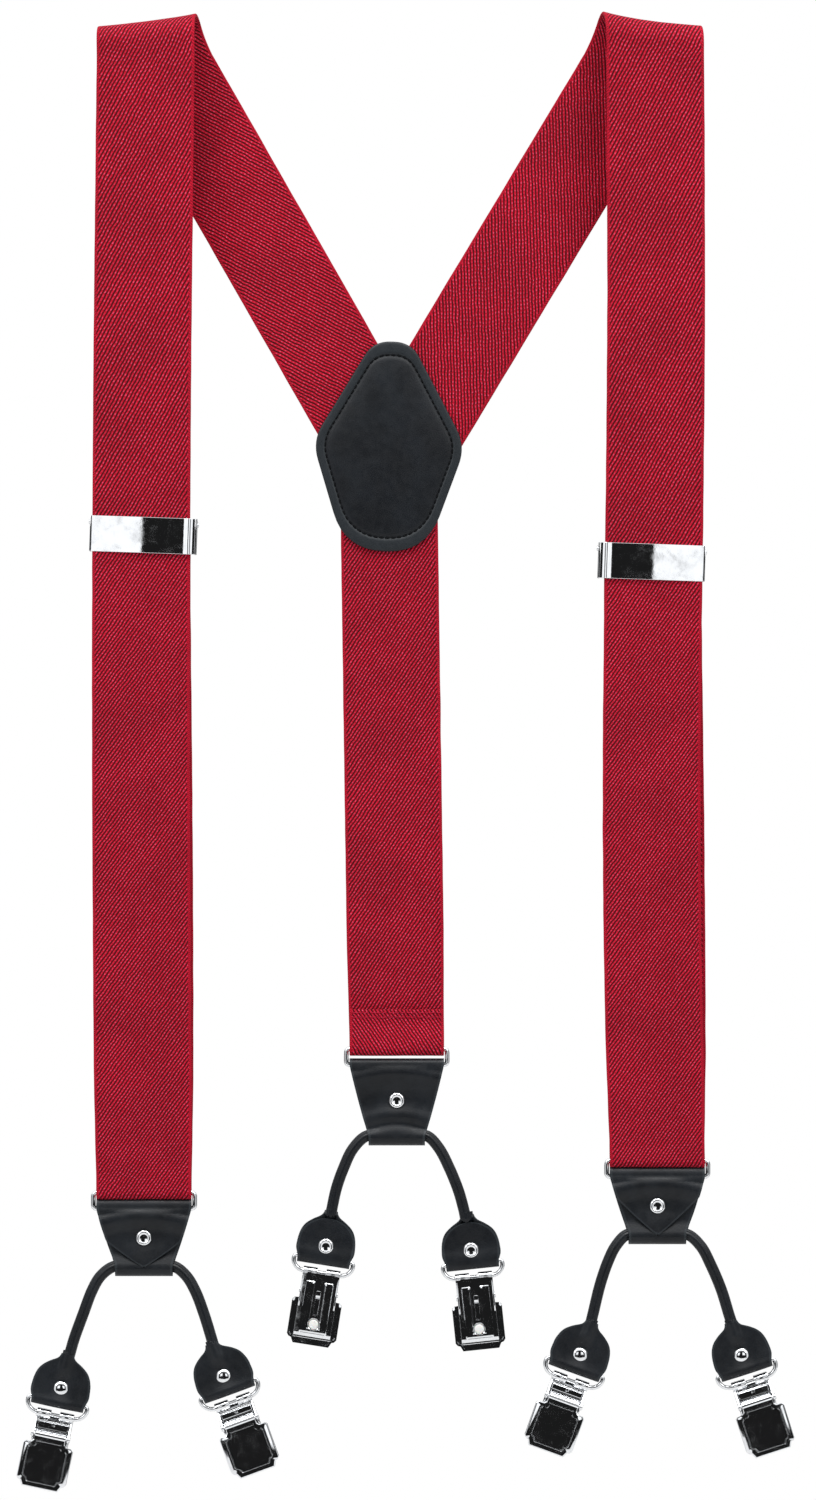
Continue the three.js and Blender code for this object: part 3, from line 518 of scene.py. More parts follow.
# webbing
webbing = {"width": 34.6 * mm, "foldWidth": 33.6 * mm, "foldTaper": 45 * mm, "thickness": 1.3 * mm,
           "foldRadius": 1.8 * mm, "across": 12, "step": 2.0 * mm}
shoulder = {"loopRadius": 7 * mm, "startZ": -12 * mm, "crestTilt": 7, "crestReach": 24 * mm}
seam = {"x": -2.7 * mm, "z": -152 * mm, "gap": 0.15 * mm}
straps = {
    "left": {"sign": -1, "topX": -90 * mm, "bottomX": -90.6 * mm, "bow": -1.3 * mm, "sway": 0.0,
             "turn": 29.8, "turnLength": 33 * mm, "sliderZ": -175 * mm, "ringZ": -407.6 * mm,
             "returnDrift": 0.8 * mm},
    "right": {"sign": 1, "topX": 90.2 * mm, "bottomX": 91 * mm, "bow": -1.2 * mm, "sway": 0.9 * mm,
              "turn": 31, "turnLength": 38 * mm, "sliderZ": -184.5 * mm, "ringZ": -396.3 * mm,
              "returnDrift": 1.6 * mm},
}
backStrap = {"topX": -4.1 * mm, "ringX": -1.2 * mm, "ringZ": -357.3 * mm, "flapLength": 14 * mm,
             "flapGap": 0.2 * mm}
slider = {"bend": 2.4, "roll": 2, "shift": 0.7 * mm, "barDrop": 4.55 * mm, "half": 18.9, "height": 12.7}
sideways = Vector((1, 0, 0))


def frontX(side, z):
    share = max((z - shoulder["startZ"]) / (side["ringZ"] - shoulder["startZ"]), 0)
    return (side["topX"] + (side["bottomX"] - side["topX"]) * share
            + side["bow"] * math.sin(math.pi * share) + side["sway"] * math.sin(2 * math.pi * share))


def bandWidth(z, ringZ):
    grown = smooth((z - ringZ) / webbing["foldTaper"])
    return webbing["foldWidth"] + (webbing["width"] - webbing["foldWidth"]) * grown


def archStations(side):
    # up the diagonal's last part, over the bar and down to the front run
    radius = shoulder["loopRadius"]
    rise = -shoulder["startZ"]
    arch = math.pi * radius
    total = arch + 2 * rise
    count = 44
    x = 0.0
    stations = []
    for i in range(count + 1):
        s = total * i / count
        turn = math.radians(side["turn"]) * (1 - smooth(s / side["turnLength"]))
        if s <= rise:
            y, z, upY, upZ = radius, s - rise, 0, 1
        elif s <= rise + arch:
            angle = (s - rise) / radius
            y, z = radius * math.cos(angle), radius * math.sin(angle)
            upY, upZ = -math.sin(angle), math.cos(angle)
        else:
            y, z, upY, upZ = -radius, rise + arch - s, 0, -1
        rightward = side["sign"] * math.sin(turn)
        flat = Vector((math.cos(turn), -rightward * upY, -rightward * upZ))
        if i:
            x += rightward * total / count
        crest = smooth(1 - abs(s - rise - arch / 2) / shoulder["crestReach"])
        flat.z -= side["sign"] * math.tan(math.radians(shoulder["crestTilt"])) * crest
        stations.append((Vector((x, y, z)), flat, webbing["width"]))
    shift = frontX(side, shoulder["startZ"]) - x
    for point, _, _ in stations:
        point.x += shift
    return stations


def frontStations(side):
    stations = archStations(side)
    first, flat, width = stations[0]
    turn = math.radians(side["turn"])
    lean = Vector((-side["sign"] * math.sin(turn), 0, -math.cos(turn)))
    backLength = (first.z - seam["z"] + webbing["width"] / 2) / math.cos(turn)
    backSteps = int(backLength / webbing["step"])
    for i in range(1, backSteps + 1):
        stations.insert(0, (first + lean * backLength * i / backSteps, flat, width))
    runSteps = int((shoulder["startZ"] - side["ringZ"]) / webbing["step"])
    for i in range(1, runSteps + 1):
        z = shoulder["startZ"] + (side["ringZ"] - shoulder["startZ"]) * i / runSteps
        place = Vector((frontX(side, z), -shoulder["loopRadius"], z))
        stations.append((place, sideways, bandWidth(z, side["ringZ"])))
    ringY = webbing["foldRadius"] - shoulder["loopRadius"]
    for i in range(1, 13):
        angle = math.pi * i / 12
        stations.append((Vector((side["bottomX"], ringY - webbing["foldRadius"] * math.cos(angle),
                                 side["ringZ"] - webbing["foldRadius"] * math.sin(angle))),
                         sideways, webbing["foldWidth"]))
    return stations


def returnStations(side):
    # back up behind the front run, then over the slider's end bar into a short sewn end
    backY = 2 * webbing["foldRadius"] - shoulder["loopRadius"]
    barZ = side["sliderZ"] - slider["barDrop"]
    wrap = 1.42 * mm
    turnZ = barZ - 12 * mm
    runSteps = int((turnZ - side["ringZ"]) / webbing["step"])
    stations = []
    for i in range(runSteps + 1):
        share = i / runSteps
        z = side["ringZ"] + (turnZ - side["ringZ"]) * share
        x = frontX(side, z) + side["returnDrift"] * math.sin(math.pi * share)
        stations.append((Vector((x, backY, z)), sideways, bandWidth(z, side["ringZ"])))
    for i in range(1, 7):
        z = turnZ + (barZ - turnZ) * i / 6
        place = Vector((frontX(side, z), backY + wrap * smooth(i / 6), z))
        stations.append((place, sideways, webbing["width"]))
    barX = frontX(side, barZ)
    for i in range(1, 11):
        angle = math.pi * i / 10
        place = Vector((barX, backY + wrap * math.cos(angle), barZ + wrap * math.sin(angle)))
        stations.append((place, sideways, webbing["width"]))
    for i in range(1, 6):
        stations.append((Vector((barX, backY - wrap, barZ - 2.2 * mm * i)), sideways, webbing["width"]))
    return stations


def backStations():
    layerY = shoulder["loopRadius"]
    ringY = layerY - webbing["foldRadius"]
    topZ = seam["z"] - seam["gap"]
    runSteps = int((topZ - backStrap["ringZ"]) / webbing["step"])
    stations = []
    for i in range(runSteps + 1):
        share = i / runSteps
        z = topZ + (backStrap["ringZ"] - topZ) * share
        x = backStrap["topX"] + (backStrap["ringX"] - backStrap["topX"]) * share
        stations.append((Vector((x, layerY, z)), sideways, bandWidth(z, backStrap["ringZ"])))
    for i in range(1, 13):
        angle = math.pi * i / 12
        stations.append((Vector((backStrap["ringX"], ringY + webbing["foldRadius"] * math.cos(angle),
                                 backStrap["ringZ"] - webbing["foldRadius"] * math.sin(angle))),
                         sideways, webbing["foldWidth"]))
    flapY = layerY - webbing["thickness"] - backStrap["flapGap"]
    frontY = ringY - webbing["foldRadius"]
    for i in range(1, 9):
        share = i / 8
        stations.append((Vector((backStrap["ringX"], frontY + (flapY - frontY) * smooth(share * 1.3),
                                 backStrap["ringZ"] + backStrap["flapLength"] * share)),
                         sideways, webbing["foldWidth"]))
    return stations


def clothBand(name, stations, reliefSeed, stretch):
    # webbing laid along its stations, with the weave in its UV map drawn out by stretch(point)
    bm = bmesh.new()
    bmesh.ops.create_grid(bm, x_segments=webbing["across"], y_segments=len(stations) - 1, size=0.5)
    layer = bm.loops.layers.uv.new("cloth")
    lengths = [0.0]
    for i in range(1, len(stations)):
        gap = (stations[i][0] - stations[i - 1][0]).length
        lengths.append(lengths[-1] + gap * stretch(stations[i][0]))
    rows = len(stations) - 1
    for face in bm.faces:
        for loop in face.loops:
            share, i = loop.vert.co.x, round((loop.vert.co.y + 0.5) * rows)
            loop[layer].uv = (share * webbing["width"], lengths[i])
    for vert in bm.verts:
        i = round((vert.co.y + 0.5) * rows)
        point, flat, width = stations[i]
        along = (stations[min(i + 1, rows)][0] - stations[max(i - 1, 0)][0]).normalized()
        normal = along.cross(flat).normalized()
        share = vert.co.x
        s = lengths[i]
        edge = 1 + 0.007 * noise.noise(Vector((s * 70, math.copysign(3, share), reliefSeed)))
        relief = 0.22 * mm * noise.noise(Vector((share * 1.6, s * 26, reliefSeed + 5)))
        relief += 0.1 * mm * noise.noise(Vector((share * 5, s * 90, reliefSeed + 9)))
        vert.co = point + flat * share * width * edge + normal * relief
    band = makeObject(name, bm, elasticSkin)
    thicken(band, webbing["thickness"])
    roundEdges(band, 0.4 * mm, 3, 60)
    return settle(band, 50)


def diagonalFaces(bm):
    # the part behind the bar and below it
    return [f for f in bm.faces if f.calc_center_median().y > 4 * mm and f.calc_center_median().z < -20 * mm]


def cutDiagonal(band, inside):
    # trims the diagonal at the middle of the back and at the seam, and closes the cut ends
    bm = bmesh.new()
    bm.from_mesh(band.data)
    for place, away in ((Vector((seam["x"] - inside * seam["gap"], 0, 0)), Vector((inside, 0, 0))),
                        (Vector((0, 0, seam["z"] + seam["gap"])), Vector((0, 0, -1)))):
        behind = diagonalFaces(bm)
        parts = set(behind)
        for face in behind:
            parts.update(face.edges)
            parts.update(face.verts)
        bmesh.ops.bisect_plane(bm, geom=list(parts), dist=1e-6, plane_co=place, plane_no=away)
        gone = [f for f in diagonalFaces(bm) if (f.calc_center_median() - place).dot(away) > 0]
        bmesh.ops.delete(bm, geom=gone, context="FACES")
        bmesh.ops.holes_fill(bm, edges=[edge for edge in bm.edges if edge.is_boundary])
    bmesh.ops.remove_doubles(bm, verts=bm.verts[:], dist=0.002 * mm)
    bm.to_mesh(band.data)
    bm.free()


def finishBand(held):
    if held:
        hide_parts(*held)


for number, (sideName, side) in enumerate(straps.items()):
    def slack(point):
        # the weave is drawn out more behind the bar, and more below the slider
        low = smooth((side["sliderZ"] + 60 * mm - point.z) / (120 * mm))
        return 1.2 if point.y > 0 else 1.0 + 0.4 * low

    stations = frontStations(side)
    band = clothBand(f"{sideName}FrontStrap", stations, 11.0 * number, slack)
    cutDiagonal(band, -side["sign"])
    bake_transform(band)
    finishBand((f"{sideName}_shoulder_strap", f"{sideName}_adjusting_loop"))

    stations = returnStations(side)
    band = clothBand(f"{sideName}ReturnStrap", stations, 40 + 11.0 * number, lambda point: 1.35)
    end = Vector((side["topX"], -3.4 * mm, side["sliderZ"] - slider["barDrop"]))
    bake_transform(band)
    finishBand(())

stations = backStations()
band = clothBand("backStrap", stations, 77.0, lambda point: 1.3)
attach(band, "yoke")
finishBand(("back_strap",))
print("webbing ready")


# patch over the back seam
patch = {"x": -4 * mm, "z": -143 * mm, "topHalf": 6.8 * mm, "rise": 37.3 * mm, "topRadius": 10.5 * mm,
         "halfWidth": 27.3 * mm, "sideRise": 1 * mm, "sideRadius": 15.5 * mm, "footHalf": 14.5 * mm,
         "drop": 37.4 * mm, "footRadius": 19.5 * mm, "lean": 2, "gap": 0.95 * mm, "inscribed": 24.2,
         "stitchInset": 3.1, "stitchLength": 2.1 * mm}


def patchOutline():
    left = [(-patch["topHalf"], patch["rise"], patch["topRadius"]),
            (-patch["halfWidth"], patch["sideRise"], patch["sideRadius"]),
            (-patch["footHalf"], -patch["drop"], patch["footRadius"])]
    return roundedCorners(left + [(-x, z, radius) for x, z, radius in left[::-1]], 8)


def layOnYoke(piece, outward, *nodes):
    # pieces are built facing -y with their back at y = 0; the outer ones are mirrored to face the other way
    spot = Matrix.Translation((patch["x"], 7 * mm + outward * patch["gap"], patch["z"]))
    piece.data.transform(spot @ Matrix.Rotation(math.radians(patch["lean"]), 4, "Y")
                         @ Matrix.Diagonal((1, -outward, 1, 1)))
    if outward > 0:
        piece.data.flip_normals()
    finishPiece(piece, None, "yoke", "black_leather", *nodes)


def makePatch(name, node, outward):
    bm = bmesh.new()
    outline = patchOutline()
    # even rings inward: the rolled rim, the stitch channel, then the padded middle
    rings = [(0, 0), (0, 0.65), (0.12, 0.95), (0.4, 1.12), (0.9, 1.2), (2.2, 1.26), (2.7, 1.2), (2.9, 0.95),
             (3.15, 0.85), (3.4, 0.95), (3.7, 1.22), (4.3, 1.45), (6, 1.85), (9, 2.35), (13, 2.75), (18, 2.95)]
    loops = []
    insets = {}
    layer = bm.loops.layers.uv.new("hide")
    for inset, height in rings:
        share = 1 - inset / patch["inscribed"]
        verts = [bm.verts.new((p.x * share, -height * mm, p.y * share)) for p in outline]
        insets.update((vert, inset * mm) for vert in verts)
        loops.append([bm.edges.new(pair) for pair in zip(verts, verts[1:] + verts[:1])])
    skinOver(bm, loops)
    bmesh.ops.recalc_face_normals(bm, faces=bm.faces[:])
    for face in bm.faces:
        for loop in face.loops:
            loop[layer].uv = (insets[loop.vert], 0)
    layOnYoke(makeObject(name, bm, patchSkin, sharp=50), outward, node)
    # a running stitch in the channel
    line = [p * (1 - patch["stitchInset"] / patch["inscribed"]) for p in outline]
    line.append(line[0])
    ways = [0.0]
    for a, b in zip(line, line[1:]):
        ways.append(ways[-1] + (b - a).length)
    count = int(ways[-1] / patch["stitchLength"])
    bm = bmesh.new()
    for i in range(count):
        at = ways[-1] * (i + 0.5) / count
        k = max(j for j in range(len(ways) - 1) if ways[j] <= at)
        here = line[k].lerp(line[k + 1], (at - ways[k]) / max(ways[k + 1] - ways[k], 1e-9))
        along = (line[k + 1] - line[k]).normalized()
        angle = math.atan2(along.y, along.x)
        length = patch["stitchLength"] * (0.82 + 0.12 * noise.noise(Vector((i * 1.7, outward, 3))))
        shift = 0.12 * mm * noise.noise(Vector((i * 0.9, 7, outward)))
        spot = Matrix.Translation((here.x + shift, -1.02 * mm, here.y + shift))
        spot = spot @ Matrix.Rotation(-angle, 4, "Y")
        bmesh.ops.create_uvsphere(bm, u_segments=8, v_segments=5, radius=1,
                                  matrix=spot @ Matrix.Diagonal((length / 2, 0.2 * mm, 0.3 * mm, 1)))
    layOnYoke(makeObject(f"{name}Stitches", bm, blackThread, sharp=80), outward)


makePatch("patchInner", "patch_inner_leather", -1)
makePatch("patchOuter", "patch_outer_leather", 1)
print("patch ready")


# leather tabs, cords and end tabs
leatherTab = {"topHalf": 16.8 * mm, "bottomHalf": 9.4 * mm, "ringEye": 1.15 * mm, "cordEye": 2.5 * mm,
              "sheet": 1.05 * mm, "spacing": 5.6 * mm, "top": -3.25 * mm, "flapTip": 22.6 * mm,
              "across": 16}
cordShape = {"radius": 2 * mm, "sides": 40, "exit": 10.7 * mm}
endTab = {"sheet": 1.15 * mm, "barZ": -4.62 * mm, "foldRadius": 1.66 * mm, "archTop": 9.9 * mm, "across": 20}
sets = {
    "left": {"x": -90.6 * mm, "y": -5.2 * mm, "ringZ": -407.6 * mm, "facing": 1, "height": 26.6 * mm,
             "flapStart": 13.5 * mm, "ends": {
        "left_outer": {"lean": 12, "rivet": (-29.4, -43.2),
                       "route": [(-15.2, -3.2), (-18.2, -8.1), (-21.6, -17), (-24.7, -25.5), (-26.8, -32.5)]},
        "left_inner": {"lean": 20, "rivet": (28.2, -38.9),
                       "route": [(15, -3.4), (18.2, -8.8), (21.3, -17), (23.6, -24.5), (25, -29.5)]}}},
    "right": {"x": 91 * mm, "y": -5.2 * mm, "ringZ": -396.3 * mm, "facing": 1, "height": 26.6 * mm,
              "flapStart": 9.2 * mm, "ends": {
        "right_inner": {"lean": 20, "rivet": (-27.4, -42.6),
                        "route": [(-14.6, -3.9), (-17.3, -9.2), (-20.1, -17.3), (-22.3, -26.2), (-23.6, -32)]},
        "right_outer": {"lean": 18, "rivet": (29.8, -42.8),
                        "route": [(15.4, -4.1), (18.9, -10.6), (22.7, -19.6), (25.4, -28.4), (27, -33.4)]}}},
    "back": {"x": -1.2 * mm, "y": 5.2 * mm, "ringZ": -357.3 * mm, "facing": -1, "height": 31.4 * mm,
             "flapStart": 14 * mm, "ends": {
        "back_left": {"lean": 9, "rivet": (-25.2, -39.2),
                      "route": [(-15.6, -4.6), (-18.9, -11.4), (-21.4, -18.4), (-22.9, -25.1), (-23.4, -28)]},
        "back_right": {"lean": 6, "rivet": (26.4, -40.6),
                       "route": [(14.9, -4.2), (18.7, -11.4), (22, -19.6), (23.9, -26.4), (24.6, -29.4)]}}},
}


def cordLevel(hangingSet):
    return leatherTab["top"] - hangingSet["height"] + 1.2 * mm + leatherTab["cordEye"]


def curveThrough(points, steps):
    # a smooth centripetal curve through the points
    line = []
    for i in range(len(points) - 1):
        p1, p2 = points[i], points[i + 1]
        p0 = points[i - 1] if i else p1 * 2 - p2
        p3 = points[i + 2] if i + 2 < len(points) else p2 * 2 - p1
        t0 = 0.0
        t1 = t0 + (p1 - p0).length ** 0.5
        t2 = t1 + (p2 - p1).length ** 0.5
        t3 = t2 + (p3 - p2).length ** 0.5
        for k in range(steps):
            t = t1 + (t2 - t1) * k / steps
            a1 = p0 * ((t1 - t) / (t1 - t0)) + p1 * ((t - t0) / (t1 - t0))
            a2 = p1 * ((t2 - t) / (t2 - t1)) + p2 * ((t - t1) / (t2 - t1))
            a3 = p2 * ((t3 - t) / (t3 - t2)) + p3 * ((t - t2) / (t3 - t2))
            b1 = a1 * ((t2 - t) / (t2 - t0)) + a2 * ((t - t0) / (t2 - t0))
            b2 = a2 * ((t3 - t) / (t3 - t1)) + a3 * ((t - t1) / (t3 - t1))
            line.append(b1 * ((t2 - t) / (t2 - t1)) + b2 * ((t - t1) / (t2 - t1)))
    line.append(points[-1])
    return line


def strip(name, rows, across, sheet, skin, relief):
    # a leather strip: rows of (y, z, half width), with relief in y
    bm = bmesh.new()
    bmesh.ops.create_grid(bm, x_segments=across, y_segments=len(rows) - 1, size=0.5)
    layer = bm.loops.layers.uv.new("hide")
    count = len(rows) - 1
    rims = {}
    for vert in bm.verts:
        i = round((vert.co.y + 0.5) * count)
        share = vert.co.x * 2
        y, z, half = rows[i]
        x = share * half
        rims[vert] = (half - abs(x), i * 0.6 * mm)
        vert.co = Vector((x, y + relief(x, i, half), z))
    for face in bm.faces:
        for loop in face.loops:
            loop[layer].uv = rims[loop.vert]
    bmesh.ops.remove_doubles(bm, verts=bm.verts[:], dist=0.01 * mm)
    bmesh.ops.recalc_face_normals(bm, faces=bm.faces[:])
    piece = makeObject(name, bm, skin, sharp=60)
    thicken(piece, sheet)
    roundEdges(piece, 0.28 * mm, 3, 55)
    return settle(piece, 60)


def leatherTabStrip(name, hangingSet):
    top = leatherTab["top"]
    low = cordLevel(hangingSet)
    sheet = leatherTab["sheet"]
    ringZ = -leatherTab["spacing"]
    roll = leatherTab["ringEye"] + sheet / 2 + 0.05 * mm
    rise = roll + (1.25 * mm if hangingSet["facing"] > 0 else 0)
    lower = leatherTab["cordEye"] - 0.15 * mm + sheet / 2
    flapEnd = top - leatherTab["flapTip"]
    rivetZ = (low - leatherTab["spacing"]) / 2
    flap = [(flapEnd, -3.4), (flapEnd + 3 * mm, -2.8), (rivetZ - 3 * mm, -1.9), (rivetZ, -1.3),
            (rivetZ + 3.5 * mm, -1.5), (top - 7 * mm, -2.6), (top - 4.8 * mm, -3.0), (top - 3.4 * mm, -2.5),
            (ringZ, -roll / mm)]
    backs = [(low, lower / mm), (low + 2.0 * mm, 2.3), (low + 4.4 * mm, 1.2), (rivetZ - 5 * mm, 1.95),
             (rivetZ - 2 * mm, 1.0), (rivetZ, 0.6), (rivetZ + 3.6 * mm, 0.8), (top - 7 * mm, 1.9),
             (top - 5.0 * mm, 2.6), (top - 3.6 * mm, 2.3), (ringZ, roll / mm)]
    unders = [(low, -lower / mm), (low + 2.5 * mm, -1.7), (low + 5 * mm, -0.6), (rivetZ + 3 * mm, -0.2)]
    bodyTop = top - leatherTab["ringEye"] - 1.2 * mm

    def bodyHalf(z):
        share = min(max((bodyTop - z) / (bodyTop - low + 2 * mm), 0), 1)
        half = leatherTab["topHalf"] + (leatherTab["bottomHalf"] - leatherTab["topHalf"]) * share
        return half + 0.35 * mm * math.sin(math.pi * share)

    def flapHalf(z):
        start = top - hangingSet["flapStart"]
        if z >= start:
            return bodyHalf(z)
        share = min((start - z) / (start - flapEnd), 1)
        return max(bodyHalf(start) * (1 - share ** 1.12) ** 0.92, 0.25 * mm)

    line, widths = [], []

    def add(y, z, half):
        line.append((y, z))
        widths.append(half)

    steps = 30
    for i in range(steps):
        z = flapEnd + (ringZ - flapEnd) * i / steps
        add(through(flap, z) * mm, z, flapHalf(z))
    for i in range(13):
        angle = math.pi - math.pi * i / 12
        add(roll * math.cos(angle), ringZ + rise * math.sin(angle), leatherTab["topHalf"])
    steps = 34
    for i in range(1, steps):
        z = ringZ + (low - ringZ) * i / steps
        add(through(backs, z) * mm, z, bodyHalf(z))
    for i in range(13):
        angle = -math.pi * i / 12
        add(lower * math.cos(angle), low + lower * math.sin(angle), bodyHalf(low))
    steps = 12
    for i in range(1, steps + 1):
        z = low + (rivetZ + 3 * mm - low) * i / steps
        add(through(unders, z) * mm, z, bodyHalf(z) - 0.3 * mm)

    def relief(x, i, half):
        # the bulge under the ring sags towards the sides, and the rivet draws the leather in
        y, z = line[i]
        outer = z > flapEnd - 0.1 * mm and i < 30
        inner = 42 < i < 76
        if not outer and not inner:
            return 0.0
        profile = flap if outer else backs
        sagged = through(profile, min(z + 2.4 * mm * (x / half) ** 2, ringZ)) - through(profile, z)
        dent = 0.55 * math.exp(-(math.hypot(x, z - rivetZ) / (3.9 * mm)) ** 2) * (1 if outer else -1)
        near = smooth((ringZ - z) / (2 * mm)) * smooth((z - low + (6 * mm if outer else 0)) / (3 * mm))
        return (sagged * near + dent + 0.05 * noise.noise(Vector((x * 160, z * 160, i < 40)))) * mm

    rows = [(y, z, half) for (y, z), half in zip(line, widths)]
    return strip(name, rows, leatherTab["across"], sheet, leatherSkin, relief)


def endTabStrip(name):
    # the cord opens into a flat tab that folds round the D-ring and ends in an arch
    outerHalf = [(-6, 9.35), (-4.62, 9.5), (-2, 10.35), (1, 10.3), (3.4, 9.95), (5.6, 9.2), (7.4, 7.9),
                 (9.2, 5.6), (10.4, 3.6), (11.6, 2.4), (12.6, 2.05)]
    fold = endTab["foldRadius"]
    line, widths = [], []

    def add(y, z, half):
        line.append((y, z))
        widths.append(half * mm)

    steps = 34
    for i in range(steps):
        z = 12.6 + (endTab["barZ"] / mm - 12.6) * i / steps
        y = through([(-4.62, -fold / mm), (-2.6, -1.05), (0, -0.62), (4, -0.62), (12.6, -0.62)], z)
        add(y * mm, z * mm, through(outerHalf, z))
    for i in range(13):
        angle = math.pi + math.pi * i / 12
        add(fold * math.cos(angle), endTab["barZ"] + fold * math.sin(angle), 9.35)
    steps = 26
    archTop = endTab["archTop"] / mm
    for i in range(1, steps + 1):
        z = -4.62 + (archTop + 4.62) * (1 - (1 - i / steps) ** 1.6)
        y = through([(-4.62, fold / mm), (-3.4, 1.85), (-1.8, 1.6), (0.6, 1.0), (3, 0.8), (archTop, 0.8)], z)
        half = through([(-4.62, 9.4), (-2, 10.1), (1, 10.25)], z)
        if z > 1:
            half = 10.25 * max(1 - ((z - 1) / (archTop - 1)) ** 2, 0.0004) ** 0.5
        add(y * mm, z * mm, half)

    def relief(x, i, half):
        y, z = line[i]
        away = math.hypot(x, z)
        if y < 0:
            ridge = 1.6 * mm * smooth((z - 3.6 * mm) / (4.5 * mm)) * math.exp(-(x / (1.8 * mm)) ** 2)
            puff = 1.0 * mm * (1 - (x / half) ** 2) * smooth((9 * mm - z) / (9 * mm)) if half > 4 * mm else 0
            hollow = 1.0 * mm * math.exp(-((x / (2.6 * mm)) ** 2 + ((z - 3.0 * mm) / (2.1 * mm)) ** 2))
            dent = 0.9 * mm * math.exp(-(away / (3.8 * mm)) ** 2)
            return hollow + dent - ridge - puff
        dent = 0.7 * mm * math.exp(-(away / (4.4 * mm)) ** 2)
        return 0.05 * mm * noise.noise(Vector((x * 200, z * 200, 4))) - dent

    rows = [(y, z, half) for (y, z), half in zip(line, widths)]
    return strip(name, rows, endTab["across"], endTab["sheet"], leatherSkin, relief)


def endMatrix(hangingSet, end):
    across = end["rivet"][0] * mm * hangingSet["facing"]
    turn = -math.copysign(math.radians(end["lean"]), across)
    spot = Matrix.Translation((across, 0, cordLevel(hangingSet) + end["rivet"][1] * mm))
    return spot @ Matrix.Rotation(turn, 4, "Y")


def setMatrix(hangingSet):
    turn = Matrix.Rotation(0 if hangingSet["facing"] > 0 else math.pi, 4, "Z")
    return Matrix.Translation((hangingSet["x"], hangingSet["y"], hangingSet["ringZ"])) @ turn


def cordPath(hangingSet):
    level = cordLevel(hangingSet)
    points = []
    ends = sorted(hangingSet["ends"].values(), key=lambda end: end["rivet"][0] * hangingSet["facing"])
    for i, end in enumerate(ends):
        place = endMatrix(hangingSet, end)
        exitX = math.copysign(cordShape["exit"], place.translation.x)
        leg = [Vector((exitX / 2, 0, level)), Vector((exitX, 0, level))]
        leg += [Vector((x * mm * hangingSet["facing"], 0, level + z * mm)) for x, z in end["route"]]
        neck = ((0, 13.5), (-0.5, 11.4), (-0.95, 9), (-0.9, 6.5))
        leg += [place @ Vector((0, y * mm, z * mm)) for y, z in neck]
        points += leg if i else leg[::-1] + [Vector((0, 0, level))]
    return curveThrough(points, 7)


def cordSection(angle, i, count):
    # two shallow creases run along each face of the cord, and it thins into its end tabs
    near = min(i, count - 1 - i)
    factor = 1.0 - 0.42 * smooth((17 - near) / 14)
    for face in (-90, 90):
        for crease in (-30, 30):
            gap = math.degrees(angle) - face - crease
            factor -= 0.13 * math.exp(-(gap / 8) ** 2)
    return factor


studFront = [(0, -0.62), (1.3, -0.62), (1.5, -0.66), (1.75, -0.9), (2.0, -0.98), (2.4, -0.88), (2.8, -0.5),
             (2.9, -0.15), (2.85, 0.1)]
domeFront = [(0, -1.05), (0.9, -1.02), (1.7, -0.9), (2.3, -0.66), (2.7, -0.34), (2.85, 0.0), (2.8, 0.2)]


def rivetPiece(name, frontProfile, frontSeat, backSeat):
    # a head each side of its seat, on one shank
    bm = bmesh.new()
    profile = [(r * mm, (y - frontSeat) * mm) for r, y in frontProfile]
    profile += [(1.2 * mm, profile[-1][1]), (1.2 * mm, (backSeat - 0.1) * mm)]
    profile += [(r * mm, (backSeat - y) * mm) for r, y in studFront[::-1]]
    turned(bm, profile, 40)
    bmesh.ops.recalc_face_normals(bm, faces=bm.faces[:])
    return makeObject(name, bm, nickelSkin, sharp=40)


def wireLoop(name, path, radius):
    bm = bmesh.new()
    sweep(bm, path, radius, 16, closed=True)
    return makeObject(name, bm, nickelSkin, sharp=60)


def dRingPath():
    def bezier(a, b, c, d, t):
        return a * (1 - t) ** 3 + b * 3 * t * (1 - t) ** 2 + c * 3 * t * t * (1 - t) + d * t ** 3
    low = -5.1
    path = [Vector((x, 0, 0)) for x in (-6, -3, 0, 3, 6)]
    side = [Vector(p) for p in ((9.9, 0, 0), (11.5, 0, -0.3), (10.6, 0, low + 0.2), (6.5, 0, low))]
    right = [bezier(*side, k / 12) for k in range(13)]
    path += right + [Vector((x, 0, low)) for x in (3, 0, -3)]
    path += [Vector((-p.x, 0, p.z)) for p in right[::-1]]
    return [p * mm for p in path]


# clips
clip = {"sheet": 0.6, "half": 6.6, "knuckle": 1.38, "hingeDrop": 9.72 * mm, "pinY": -2.9, "pinZ": -7.2,
        "holeZ": -18.4, "holeRadius": 2.1, "slotHalf": 0.75}


def sidePlate(bm, outline, near, far):
    # an outline in y and z given a width across x
    face = bm.faces.new([bm.verts.new((near, p[0], p[1])) for p in outline])
    made = bmesh.ops.extrude_face_region(bm, geom=[face])
    moved = [part for part in made["geom"] if isinstance(part, bmesh.types.BMVert)]
    bmesh.ops.translate(bm, verts=moved, vec=(far - near, 0, 0))


